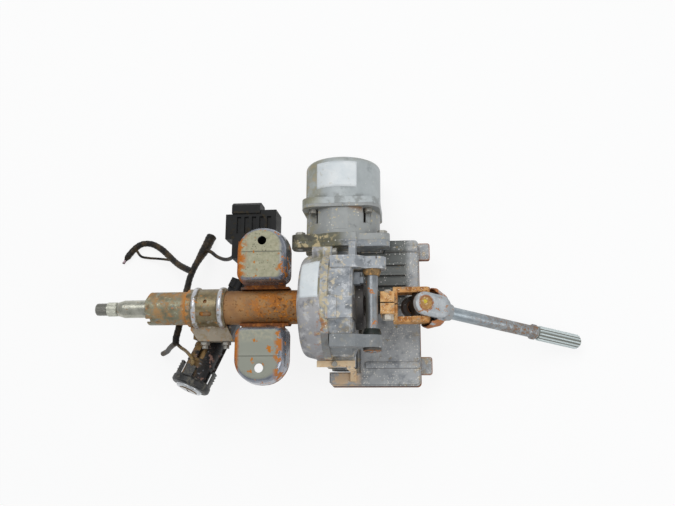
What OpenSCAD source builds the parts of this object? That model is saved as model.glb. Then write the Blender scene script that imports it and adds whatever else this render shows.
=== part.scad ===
// Steering column of a car with electric assist on the column: jacket tubes, steering
// shaft, torque sensor, worm drive, motor, control unit, steering lock, and the
// universal joint with the intermediate shaft that goes on to the rack.
// Millimetres. The origin is the centre of the lower pivot sleeve. +X runs along the
// column from the wheel to the rack, +Y towards the motor, +Z out of the mounting faces.

/* [Column] */
// Height of the pivot above the column's axis
pivot_rise = 26; // [25:0.5:28]
// Distance from the pivot back to the tip of the steering shaft
wheel_reach = 326; // [318:1:340]
// Distance from the drum's front face back to the bolt holes of the mount cups
mount_gap = 44; // [42:0.5:46]
// Height of the cups' mounting face above the pivot
mount_face = 8; // [6:0.5:11]
// Distance between the two bolt holes of the mount cups
mount_spread = 143; // [138:1:148]
// Radius of the bolt holes in the mount cups
mount_hole_r = 5; // [4:0.25:5.5]

/* [Steering shaft] */
// Diameter of the thread for the wheel nut
thread_d = 14; // [12:0.5:15]
// Length of that thread
thread_len = 14; // [10:1:18]
// Diameter over the wheel spline
spline_d = 16; // [15.5:0.25:17]
// Length of the wheel spline
spline_len = 11; // [9:1:14]
// Diameter of the steering shaft
shaft_d = 20.6; // [19.6:0.2:22]
// Diameter of the end that carries the joint
output_d = 18; // [16:0.5:19]

/* [Jacket] */
// Outer diameter of the lower tube
tube_d = 39; // [38.8:0.1:39.6]
// Wall of the lower tube
tube_wall = 2.2; // [1.8:0.1:2.3]
// Outer diameter of the upper tube where it shows
upper_tube_d = 38.4; // [37.6:0.2:38.6]
// How far the shaft's tip stands out of the upper tube
tube_show = 64.5; // [58:0.5:72]
// Thickness of the pressed sheet of clamp and bracket
sheet_t = 2.4; // [2:0.1:2.8]

/* [Mount cups] */
// Width of a cup along the column
cup_w = 60; // [54:1:64]
// Depth of a cup across the column
cup_d = 65; // [60:1:68]
// Height of a cup above its flange
cup_h = 24; // [20:1:26]
// Rounding of the cup's upper edge
cup_round = 6; // [4:0.5:8]

/* [Steering lock] */
// Distance from the mount cups' holes back to where the lock passes under the tube
lock_gap = 55.5; // [54.5:0.5:58]
// Depth of the lock's axis under the column's axis
lock_drop = 38; // [37:0.5:40]
// Angle between the lock and the crosswise direction
lock_turn = 22; // [18:0.5:24]
// Rise of the lock towards the key
lock_tilt = 12; // [10:0.5:14]
// Distance from the crossing to the lock's front
lock_front = 103; // [98:1:106]
// Radius of the lock housing
lock_r = 16; // [15:0.25:17]
// Radius of the key barrel
barrel_r = 10.8; // [9.5:0.1:11.5]

/* [Castings] */
// Radius of the sensor housing
drum_r = 61; // [59.5:0.5:62]
// Distance from the pivot back to the drum's front face
drum_reach = 79.5; // [78:0.5:84]
// Wall of the castings
wall = 6; // [5:0.25:6.5]
// Inner half distance between the pivot arms
arm_in = 36.4; // [35:0.2:38]
// Thickness of a pivot arm
arm_t = 13.6; // [11:0.2:15]
// Radius of the arms' round ends
arm_r = 11; // [10.5:0.25:12]
// Outer diameter of the pivot sleeve
sleeve_d = 13.4; // [12:0.2:14]
// Radius of the bolt hole through the pivot sleeve
pivot_hole_r = 4.25; // [3.5:0.05:5]

/* [Worm drive] */
// Gear module of the worm drive
gear_module = 2.25; // [2.15:0.05:2.25]
// Teeth of the worm wheel
wheel_teeth = 42; // [40:1:42]
// Starts of the worm
worm_starts = 2; // [2:1:3]
// Pitch diameter of the worm
worm_pitch_d = 17.5; // [16.5:0.25:18]
// Face width of the worm wheel
wheel_face = 12; // [10:0.5:13]
// Distance from the pivot back to the worm's axis
worm_reach = 40; // [39:0.25:41]
// Free play on each flank of the teeth
flank_gap = 0.3; // [0.25:0.05:0.4]

/* [Motor] */
// Radius of the motor can
motor_r = 46.5; // [44:0.5:47.5]
// Distance from the column's axis to the motor's outer end
motor_end = 186; // [180:1:194]
// Distance from the column's axis to the face between gear housing and motor
motor_face = 82; // [80:0.5:84]

/* [Control unit] */
// Far edge of the control unit along the column
unit_x = 52; // [48:1:56]
// Half length of the control unit across the column
unit_half = 87; // [85:0.5:91]
// Depth of the control unit's face under the column's axis
unit_drop = 44; // [42:0.5:46]
// Height of the control unit's cover
unit_h = 22; // [18:1:24]
// Height of the cooling ribs
rib_h = 4; // [3:0.5:5]

/* [Universal joint] */
// Distance from the pivot to the centre of the joint
cross_x = 51; // [50:0.5:54]
// Half width of a yoke over its ears
yoke_half = 20; // [19:0.25:20.5]
// Radius of the round end of an ear
ear_r = 13; // [12:0.25:13.5]
// Radius of the bearing cups
cup_r = 7.5; // [6.5:0.1:8]
// Droop of the intermediate shaft
droop = 25.5; // [20:0.5:28]
// Sideways angle of the intermediate shaft
swing = -9; // [-14:0.5:10]
// Length from the joint to the end of the intermediate shaft
reach = 214; // [200:1:230]
// Diameter of the intermediate shaft
lower_d = 14.4; // [13:0.2:15.4]
// Diameter over the spline of the intermediate shaft
lower_spline_d = 17.6; // [16.8:0.2:19]

/* [Hidden] */
$fn = 64;
// Clearance of pieces that seat in each other
seat = 0.05;
// Clearance of a running fit
run = 0.04;
// Clearance between pieces that move past each other
free = 0.35;

axis_z = -pivot_rise;
tube_r = tube_d / 2;
upper_r = upper_tube_d / 2;
bore_r = tube_r - tube_wall;
shaft_r = shaft_d / 2;
output_r = output_d / 2;
tip_x = -wheel_reach;
tube_x = tip_x + tube_show;
drum_x = -drum_reach;
mount_x = drum_x - mount_gap;
lock_x = mount_x - lock_gap;
cup_base = mount_face - cup_h;
worm_x = -worm_reach;

// Stations of the gear train along the column
wheel_x0 = worm_x - wheel_face / 2;
wheel_x1 = worm_x + wheel_face / 2;
parting_x = worm_x - 14;
gear_wall_x = worm_x + 10;
gear_face_x = gear_wall_x + wall + 4;
hub_x = -10;
drum_depth = parting_x - drum_x;
socket_x = drum_x + 0.47 * drum_depth;
sensor_x = drum_x + 0.706 * drum_depth;

// Worm drive
wheel_pitch_r = gear_module * wheel_teeth / 2;
wheel_tip_r = wheel_pitch_r + gear_module;
wheel_root_r = wheel_pitch_r - 1.25 * gear_module;
worm_pitch_r = worm_pitch_d / 2;
worm_tip_r = worm_pitch_r + gear_module;
worm_root_r = worm_pitch_r - 1.25 * gear_module;
worm_lead = PI * gear_module * worm_starts;
worm_z = axis_z - wheel_pitch_r - worm_pitch_r;
cavity_r = wheel_tip_r + 2.5;
gear_r = cavity_r + wall;
tunnel_bore = worm_tip_r + 1.2;
tunnel_seat = worm_tip_r + 2;
tunnel_r = tunnel_seat + 5;
tunnel_end = -66;
worm_half = 18;
worm_shaft_r = 5.5;
pressure = 20;

// Motor stations across the column
flange_t = 8;
bridge_y = motor_face + 44;
motor_flange = motor_face + flange_t;
can_wall = 2.5;
motor_shaft_r = 5;
lug_x = 49.5;
lug_z = 27;
band_t = 4;
band_w = 2 * motor_r + 1;

// Control unit
unit_z = axis_z - unit_drop;
unit_x0 = max(worm_x + tunnel_r + 1.5, gear_face_x + 0.6);
foot_x = unit_x0 + 8;
plate_t = 3;

// Clamp and lock
clamp_x0 = lock_x - 34;
clamp_x1 = lock_x + 10;
clamp_in = tube_r + 2 * seat;
clamp_out = clamp_in + sheet_t;
clamp_y = -36;
tube_joint = lock_x - 14;
tail_end = lock_x + 40;
tail_r = bore_r - seat;
tail_in = tail_r - 2;
collar_r = tail_in - 0.5;
bolt_w = 14;
bolt_t = 6;
bolt_lift = 4.6;
bolt_tip = collar_r + 0.4 + bolt_lift;
lock_z = axis_z - lock_drop;

// Yokes
ear_in = yoke_half - 6.5;
yoke_back = yoke_half + 3.5;
clamp_end = cross_x - yoke_back;
yoke_x0 = 9;
pin_r = cup_r - 2.4;

function arc(cx, cy, r, a0, a1, n = 8) =
    [for (i = [0 : n]) let (a = a0 + (a1 - a0) * i / n) [cx + r * cos(a), cy + r * sin(a)]];

// Rounded rectangle about the origin
function rounded(w, d, r) = concat(
    arc(w / 2 - r, d / 2 - r, r, 0, 90), arc(r - w / 2, d / 2 - r, r, 90, 180),
    arc(r - w / 2, r - d / 2, r, 180, 270), arc(w / 2 - r, r - d / 2, r, 270, 360));

// Outline of a mount cup, straight next to the column and arched on the far side
function cup_outline(inset) = let (
    w = cup_w / 2 - inset, d = cup_d - inset,
    ri = max(10 - inset, 2), ro = max(28 - inset, 4)) concat(
    arc(ri - w, inset + ri, ri, 180, 270, 4), arc(w - ri, inset + ri, ri, 270, 360, 4),
    arc(w - ro, d - ro, ro, 0, 90, 8), arc(ro - w, d - ro, ro, 90, 180, 8));

// Lays a solid that stands on z = 0 along the column, with its foot at x
module column_line(x) { translate([x, 0, axis_z]) rotate([0, 90, 0]) children(); }

// Lays a solid that stands on z = 0 along +Y
module across(x, y, z) { translate([x, y, z]) rotate([-90, 0, 0]) children(); }

// Place at an angle round the column's axis, counted from +Z towards +Y
module around(a, r, x) {
    translate([x, 0, axis_z]) rotate([-a, 0, 0]) translate([0, 0, r]) children();
}

module rod(x0, x1, r) { column_line(x0) cylinder(r = r, h = x1 - x0); }

module pipe(x0, x1, r_out, r_in) {
    difference() {
        rod(x0, x1, r_out);
        rod(x0 - 1, x1 + 1, r_in);
    }
}

// Ball bearing as one ring with a recess on each side for its seals
module race(r_out, r_in, w) {
    mid = (r_out + r_in) / 2;
    band = (r_out - r_in) / 5;
    rotate_extrude() polygon([
        [r_in, 0], [mid - band, 0], [mid - band, 0.8], [mid + band, 0.8], [mid + band, 0],
        [r_out, 0], [r_out, w], [mid + band, w], [mid + band, w - 0.8],
        [mid - band, w - 0.8], [mid - band, w], [r_in, w]]);
}

// Steering shaft and what turns with it

module steering_shaft() {
    z1 = thread_len;
    z2 = z1 + spline_len;
    z3 = z2 + 1.5;
    z4 = z3 + 8;
    end = parting_x - tip_x;
    color("silver") column_line(tip_x) difference() {
        rotate_extrude() polygon([
            [0, 0], [thread_d / 2 - 1, 0], [thread_d / 2, 1], [thread_d / 2, z1],
            [spline_d / 2 - 0.4, z1], [spline_d / 2, z1 + 0.4], [spline_d / 2, z2],
            [spline_d / 2 - 0.7, z2], [spline_d / 2 - 0.7, z3], [spline_d / 2, z3],
            [shaft_r, z4], [shaft_r, end], [0, end]]);
        translate([0, 0, end - 60]) cylinder(r = 5.2, h = 61);
    }
}

module torsion_bar() {
    x0 = parting_x - 58;
    x1 = gear_wall_x - 2;
    color("gray") {
        rod(x0, x0 + 12, 5.15);
        rod(x0 + 11, x1 - 11, 4);
        rod(x1 - 12, x1, 5.15);
    }
}

module sensor_sleeve() {
    color("lightgray") difference() {
        pipe(sensor_x + 1, parting_x - 1, shaft_r + 3, shaft_r + 0.02);
        for (a = [0 : 30 : 330]) around(a, shaft_r + 3, (sensor_x + parting_x) / 2)
            cube([3, 2.4, 4], center = true);
    }
}

module output_shaft() {
    color("silver") difference() {
        union() {
            rod(parting_x + 0.5, gear_wall_x + 14, output_r + 1);
            rod(gear_wall_x + 13, clamp_end - 0.5, output_r);
        }
        rod(parting_x, gear_wall_x, 5.2);
    }
}

module wheel_hub() {
    color("gray") difference() {
        union() {
            rod(wheel_x0, wheel_x1, output_r + 7);
            rod(worm_x - 3, worm_x + 3, wheel_root_r - 6);
            pipe(wheel_x0, wheel_x1, wheel_root_r - 6, wheel_root_r - 12);
        }
        rod(wheel_x0 - 1, wheel_x1 + 1, output_r + 1.02);
        for (a = [0 : 60 : 300]) around(a, (output_r + wheel_root_r) / 2 - 2.5, worm_x - 4)
            rotate([0, 90, 0]) cylinder(r = 3.5, h = 8);
    }
}

// Half angle of a wheel tooth at radius r, for an involute flank
function roll(r) = let (b = wheel_pitch_r * cos(pressure), q = max(r / b, 1))
    sqrt(q * q - 1) * 180 / PI - acos(1 / q);
function tooth_half(r) = 90 / wheel_teeth - flank_gap / wheel_pitch_r * 180 / PI
    + roll(wheel_pitch_r) - roll(r);

module wheel_rim() {
    step = 360 / wheel_teeth;
    levels = [wheel_root_r, wheel_pitch_r - 0.9, wheel_pitch_r + 0.7, wheel_tip_r];
    // The lead angle of the worm carried round the wheel gives the slant of the teeth
    lead_turn = worm_lead / (2 * PI * worm_pitch_r) * wheel_face / wheel_pitch_r * 180 / PI;
    outline = [for (i = [0 : wheel_teeth - 1], s = [-1, 1], k = [0 : 3])
        let (r = levels[s < 0 ? k : 3 - k], a = i * step + s * tooth_half(r)) [r * cos(a), r * sin(a)]];
    color("ivory") difference() {
        column_line(wheel_x0) rotate([0, 0, -lead_turn / 2])
            linear_extrude(wheel_face, twist = -lead_turn, slices = 3) polygon(outline);
        rod(wheel_x0 - 1, wheel_x1 + 1, wheel_root_r - 5.95);
    }
}

module lock_collar() {
    color("dimgray") difference() {
        pipe(lock_x - 8, lock_x + 8, collar_r, shaft_r + 0.02);
        for (a = [22.5 : 45 : 337.5]) around(a, collar_r, lock_x)
            translate([-9, -4, -3]) cube([18, 8, 6]);
    }
}

module input_yoke() {
    lip = 25;
    color("sienna") difference() {
        union() {
            rod(yoke_x0, clamp_end, 13.6);
            translate([yoke_x0, -12.4, axis_z]) cube([clamp_end - yoke_x0 - 3, 24.8, lip]);
            ears(clamp_end);
        }
        translate([0, -0.6, axis_z]) cube([clamp_end + 1, 1.2, lip + 1]);
        rod(yoke_x0 - 1, clamp_end + 1, output_r + 0.02);
        across(yoke_x0 + 8, -14, axis_z + 17) cylinder(r = 4.1, h = 28);
        across(cross_x, -30, axis_z) cylinder(r = cup_r + 0.02, h = 60);
        // Sloped shoulders of the pinch lip
        for (s = [-1, 1]) translate([yoke_x0 - 1, s * 12.4, axis_z + lip])
            rotate([45, 0, 0]) cube([30, 4, 4], center = false);
    }
}

// Two ears on a cross web, with the pins along Y and the web ending at x
module ears(x) {
    // Narrow waist that leaves the other yoke room to swing
    waist = ear_r - 3.2;
    intersection() {
        union() {
            translate([x - 5, -yoke_half, axis_z - ear_r]) cube([5, 2 * yoke_half, 2 * ear_r]);
            for (s = [-1, 1]) {
                translate([x - 1, s < 0 ? -yoke_half : ear_in, axis_z - waist])
                    cube([cross_x - x + 1, yoke_half - ear_in, 2 * waist]);
                across(cross_x, s < 0 ? -yoke_half : ear_in, axis_z)
                    cylinder(r = ear_r, h = yoke_half - ear_in);
            }
        }
        rod(x - 10, cross_x + ear_r + 1, yoke_half + 1.8);
    }
}

// Needle cup with its closed end outwards, foot on z = 0
module needle_cup() {
    difference() {
        cylinder(r = cup_r, h = 6.2);
        translate([0, 0, -1]) cylinder(r = pin_r + run, h = 5.9);
    }
}

module input_cups() {
    color("gray") for (s = [0, 180])
        translate([cross_x, 0, axis_z]) rotate([-90 + s, 0, 0]) translate([0, 0, ear_in]) needle_cup();
}

module pinch_bolt() {
    color("peru") across(yoke_x0 + 8, 0, axis_z + 17) {
        translate([0, 0, -18.6]) cylinder(r = 6.4, h = 6.2, $fn = 6);
        translate([0, 0, -18]) cylinder(r = 4, h = 33);
    }
}

// Drive from the motor

// Cut across the worm: the radius follows the slope of its rack profile
function worm_radius(a) = let (
    pitch = PI * gear_module, y = (worm_starts * a / 360) % 1 * pitch, d = abs(y - pitch / 2),
    mid = pitch / 4 - flank_gap)
    max(worm_root_r, min(worm_tip_r, worm_pitch_r + (d - pitch / 2 + mid) / tan(pressure)));

module worm() {
    section = [for (a = [0 : 12 : 348]) worm_radius(a) * [cos(a), sin(a)]];
    color("silver") {
        across(worm_x, 0, worm_z) {
            translate([0, 0, -worm_half]) rotate([0, 0, -360 * worm_half / worm_lead + worm_phase])
                linear_extrude(2 * worm_half, twist = -720 * worm_half / worm_lead, slices = 46)
                    polygon(section);
            translate([0, 0, -54]) cylinder(r = worm_shaft_r, h = 55 - worm_half);
            translate([0, 0, worm_half - 1]) cylinder(r = worm_shaft_r, h = motor_face - 7 - worm_half);
        }
    }
}
// Turn of the worm about its axis that sets a gap under a tooth of the wheel
worm_phase = 270 - 180 / worm_starts;

module coupling() {
    color("dimgray") across(worm_x, motor_face - 18, worm_z) difference() {
        cylinder(r = 10, h = 16);
        translate([0, 0, -1]) cylinder(r = worm_shaft_r + 0.02, h = 11);
        translate([0, 0, 9]) cylinder(r = motor_shaft_r + 0.02, h = 9);
        for (a = [0 : 90 : 270]) rotate([0, 0, a]) translate([8, -1.5, 6]) cube([4, 3, 4]);
    }
}

module armature() {
    core = bridge_y + 12;
    color("peru") across(worm_x, 0, worm_z) {
        translate([0, 0, motor_face - 7.8]) cylinder(r = motor_shaft_r, h = motor_end - motor_face + 2.4);
        translate([0, 0, core]) rotate_extrude() polygon([
            [4, -6], [20, -6], [26, -2], [26, 0], [30, 0], [30, 32], [26, 32], [26, 34], [20, 38], [4, 38]]);
        translate([0, 0, bridge_y - 8]) difference() {
            cylinder(r = 13, h = 13);
            for (a = [0 : 30 : 330]) rotate([0, 0, a]) translate([12.3, -0.4, -1]) cube([2, 0.8, 15]);
        }
    }
}

// Universal joint

module joint_cross() {
    color("gray") translate([cross_x, 0, axis_z]) rotate([0, droop, 0]) {
        for (a = [[0, 0, 0], [90, 0, 0]]) rotate(a) {
            translate([0, 0, -ear_in - 4.6]) cylinder(r = pin_r, h = 2 * ear_in + 9.2);
            translate([0, 0, 0.6 - ear_in]) cylinder(r = pin_r + 2.2, h = 2 * ear_in - 1.2);
        }
        rotate([0, 90, 0]) translate([0, 0, -pin_r - 1]) cylinder(r = 9, h = 2 * pin_r + 2);
    }
}

// Frame of the intermediate shaft: x along the shaft, z along its pins
module shaft_frame() {
    translate([cross_x, 0, axis_z]) rotate([0, droop, 0]) rotate([0, 0, swing]) children();
}

module output_yoke() {
    neck = yoke_back + 17;
    lobe_r = yoke_half + 3.4;
    shoulder = yoke_back - 6;
    color("darkgray") shaft_frame() difference() {
        union() {
            // Web that narrows into a short neck
            rotate([0, 90, 0]) rotate_extrude() polygon([
                [0, yoke_back], [yoke_half - 3, yoke_back], [yoke_half - 1, yoke_back + 3],
                [12, yoke_back + 8], [lower_d / 2 + 3, neck - 4], [lower_d / 2 + 2, neck], [0, neck]]);
            // Side lobes that reach forward round the other yoke's ears
            intersection() {
                rotate([0, 90, 0]) rotate_extrude() polygon([
                    [0, yoke_back], [yoke_half - 4, yoke_back], [lobe_r - 2.2, 15], [lobe_r - 2, 12.4],
                    [lobe_r - 0.6, 12], [lobe_r, 16], [yoke_half - 2, yoke_back + 5], [0, yoke_back + 5]]);
                translate([0, -2 * yoke_half, -ear_in]) cube([3 * yoke_half, 4 * yoke_half, 2 * ear_in]);
            }
            // Ears with a round shoulder over the neck
            intersection() {
                for (z = [-yoke_half, ear_in]) translate([0, 0, z]) linear_extrude(yoke_half - ear_in) {
                    circle(r = ear_r);
                    translate([0, -ear_r]) square([shoulder, 2 * ear_r]);
                    translate([shoulder, 0]) circle(r = ear_r);
                }
                rotate([0, 90, 0]) translate([0, 0, -ear_r - 1])
                    cylinder(r = yoke_half + 1.8, h = yoke_back + 2 * ear_r + 8);
            }
        }
        translate([0, 0, -30]) cylinder(r = cup_r + 0.02, h = 60);
        rotate([0, 90, 0]) translate([0, 0, yoke_back + 4]) cylinder(r = lower_d / 2 + 0.02, h = 20);
    }
}

module output_cups() {
    color("gray") shaft_frame() for (a = [0, 180]) rotate([a, 0, 0])
        translate([0, 0, ear_in]) needle_cup();
}

module intermediate_shaft() {
    r = lower_d / 2;
    rs = lower_spline_d / 2;
    z0 = yoke_back + 4.1;
    z1 = reach - 68;
    color("slategray") shaft_frame() rotate([0, 90, 0]) difference() {
        rotate_extrude() polygon([
            [0, z0], [r, z0], [r, z1], [r + 1.8, z1 + 2], [r + 1.8, z1 + 6], [r + 0.4, z1 + 8],
            [rs - 2, z1 + 9], [rs, z1 + 11], [rs, reach - 3], [rs - 3, reach], [0, reach]]);
        // Grooves between the spline teeth
        for (a = [0 : 30 : 330]) rotate([0, 0, a]) translate([rs + 0.3, 0, z1 + 9])
            cylinder(r = 1.9, h = 80);
    }
}

// Jacket and mounts

module upper_tube() {
    end = tail_end - tube_x;
    step = tube_joint - tube_x;
    color("darkseagreen") difference() {
        column_line(tube_x) rotate_extrude() polygon([
            [upper_r - 2.2, 0], [upper_r - 0.6, 0], [upper_r, 0.6], [upper_r, step], [tail_r, step],
            [tail_r, end], [tail_in, end], [tail_in, step + 2], [upper_r - 2.2, step - 2]]);
        // Notches in the wheel end for the column switch
        for (a = [-55, 125]) around(a, upper_r, tube_x) cube([10, 7, 8], center = true);
        around(65, upper_r, tube_x) rotate([0, 25, 0]) cube([5, 30, 14], center = true);
        lock_window();
    }
}

// Opening in both tubes that the lock bolt enters through
module lock_window() {
    translate([lock_x, 0, axis_z - tube_r]) rotate([0, 0, -lock_turn]) cube([9, 8, 16], center = true);
}

module lower_tube() {
    color("saddlebrown") difference() {
        pipe(tube_joint, socket_x - 0.1, tube_r, bore_r);
        lock_window();
    }
}

module lock_clamp() {
    beads = [9.5, 39.5];
    span = clamp_x1 - clamp_x0;
    color("silver") difference() {
        union() {
            column_line(clamp_x0) rotate([0, 0, 92]) rotate_extrude(angle = 178) intersection() {
                union() {
                    translate([clamp_in, 0]) square([sheet_t, span]);
                    for (b = beads) translate([clamp_in, b]) circle(r = sheet_t + 2.2);
                }
                translate([clamp_in, 0]) square([10, span]);
            }
            // Side plate with slanted ends, turned down into a flange for the shear bolts
            translate([0, 0, axis_z]) linear_extrude(sheet_t) polygon([
                [clamp_x0 + 2, -clamp_in - 0.6], [clamp_x1, -clamp_in - 0.6],
                [clamp_x1 + 8, clamp_y], [clamp_x1 + 8, clamp_y - sheet_t],
                [clamp_x0 + 12, clamp_y - sheet_t], [clamp_x0 + 2, -clamp_in - 6]]);
            translate([clamp_x0 + 12, clamp_y - sheet_t, axis_z - 12])
                cube([span - 4, sheet_t, 12 + sheet_t]);
        }
        for (x = shear_x) across(x, clamp_y - 4, axis_z - shear_drop) cylinder(r = 3.3, h = 8);
        around(-26, tube_r, clamp_x0 + 23.5) {
            for (s = [-1, 1]) translate([4.5 * s, 0, -2]) cylinder(r = 2.7, h = 9);
            translate([-4.5, -2.7, -2]) cube([9, 5.4, 9]);
        }
        around(12, tube_r, clamp_x0 + 23) cylinder(r = 2.1, h = 9);
    }
}
shear_x = [clamp_x0 + 18, clamp_x1 - 1];
shear_drop = 5.6;

module shear_bolts() {
    color("gray") for (x = shear_x) translate([x, clamp_y - sheet_t, axis_z - shear_drop]) rotate([90, 0, 0]) {
        cylinder(r = 5.4, h = 4, $fn = 6);
        cylinder(r = 3.4, h = 8);
        translate([0, 0, -11]) cylinder(r = 3.2, h = 12);
    }
}

// Section of the saddle: a cradle under the tube with an upright on each side
module saddle_bracket() {
    w = cup_w - 4;
    x0 = mount_x - w / 2;
    top = cup_base - 0.02;
    color("chocolate") {
        intersection() {
            pipe(x0, x0 + w, clamp_out, clamp_in);
            translate([x0 - 1, -50, axis_z - 50]) cube([w + 2, 100, 50.5]);
        }
        for (s = [0, 1]) mirror([0, s, 0]) {
            translate([x0, clamp_in + 0.05, axis_z]) cube([w, sheet_t, top - axis_z]);
            translate([mount_x, cup_y, top - sheet_t]) linear_extrude(sheet_t) difference() {
                polygon(cup_outline(0));
                polygon(cup_outline(5));
            }
            translate([x0 + 4, clamp_in + 0.2, top - sheet_t]) cube([w - 8, cup_y - clamp_in + 6, sheet_t]);
            // Gussets under the wings
            for (x = [mount_x - 18, mount_x + 16]) translate([x, 0, 0]) rotate([90, 0, 90])
                linear_extrude(sheet_t) polygon([
                    [clamp_in + 1, top - 1], [clamp_in + 1, axis_z], [clamp_in + 12, top - 1]]);
        }
    }
}
hole_edge = 17.5;
cup_y = mount_spread / 2 - cup_d + hole_edge;

// Pressed cup: drafted walls, rounded upper edge, and a raised pad round the bolt hole
module mount_cup() {
    t = sheet_t;
    color("lightslategray") translate([mount_x, cup_y, cup_base]) difference() {
        union() {
            cup_form(0, cup_h - 0.8);
            translate([0, 0, cup_h - 1.6]) linear_extrude(1.6) intersection() {
                polygon(cup_outline(cup_round + 3.6));
                translate([-40, cup_d - 37]) square([80, 60]);
            }
        }
        translate([0, 0, -0.1]) cup_form(t, cup_h - 0.8 - t);
        translate([0, mount_spread / 2 - cup_y, 0]) cylinder(r = mount_hole_r, h = 60);
    }
}

module cup_form(inset, h) {
    r = cup_round - inset / 2;
    hull() {
        linear_extrude(0.2) polygon(cup_outline(inset));
        for (a = [0, 30, 60, 90])
            translate([0, 0, h - r + (r - 0.2) * sin(a)]) linear_extrude(0.2)
                polygon(cup_outline(inset + 3 + r * (1 - cos(a))));
    }
}

module cup_motor_side() { mount_cup(); }

module cup_key_side() { mirror([0, 1, 0]) mount_cup(); }

// Castings

lug_angles = [63, 112, -112];
lug_c = max(drum_r, gear_r + 2) + 3;

// Round lug for a casting screw, on the drum's rim
module rim_lugs(x0, x1) {
    for (a = lug_angles) around(a, lug_c, x0) rotate([0, 90, 0]) {
        cylinder(r = 6.5, h = x1 - x0);
        translate([0, -6.5, 0]) cube([10, 13, x1 - x0]);
    }
}

module rim_holes(x0, x1, r) {
    for (a = lug_angles) around(a, lug_c, x0) rotate([0, 90, 0]) cylinder(r = r, h = x1 - x0);
}

module sensor_housing() {
    corner = 9;
    color("slategray") difference() {
        union() {
            column_line(drum_x) rotate_extrude() polygon(concat(
                [[0, 0]], arc(drum_r - corner - 3, corner, corner, -90, -18, 6),
                [[drum_r, drum_depth - 6], [drum_r, drum_depth], [0, drum_depth]]));
            rim_lugs(parting_x - 12, parting_x);
            rod(drum_x - 5, drum_x + 1, tube_r + 5);
        }
        rod(drum_x - 6, socket_x, tube_r + seat);
        rod(socket_x - 1, sensor_x + 1, bearing_r + seat);
        rod(sensor_x, parting_x + 1, sensor_cavity);
        rim_holes(parting_x - 11, parting_x + 1, 2.6);
        across(worm_x, -100, worm_z) cylinder(r = tunnel_r + 0.4, h = 200);
        // Cast pockets round the front face
        for (a = [-60 : 40 : 300]) if (a != 180) around(a, 39, drum_x - 6) rotate([0, 90, 0])
            cylinder(r = 7.5, h = 10);
    }
}
bearing_r = tube_r - 1.5;
sensor_cavity = wheel_pitch_r + worm_pitch_r - tunnel_r - 2.5;

module housing_screws() {
    color("gray") for (a = lug_angles) around(a, lug_c, parting_x + 10) rotate([0, 90, 0]) {
        cylinder(r = 4.6, h = 5);
        translate([0, 0, -20]) cylinder(r = 2.55, h = 21);
    }
}

// Plate between gear housing and motor: a disc with a bar across it from lug to lug
module motor_plate(y, t) {
    across(worm_x, y, worm_z) {
        cylinder(r = motor_r - 0.5, h = t);
        translate([0, -lug_z - 1, 0]) linear_extrude(t) polygon(rounded(2 * lug_x + 18, 24, 7));
    }
}

module plate_holes(y, h, r) {
    for (s = [-1, 1]) across(worm_x + s * lug_x, y, worm_z + lug_z) cylinder(r = r, h = h);
}

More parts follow.
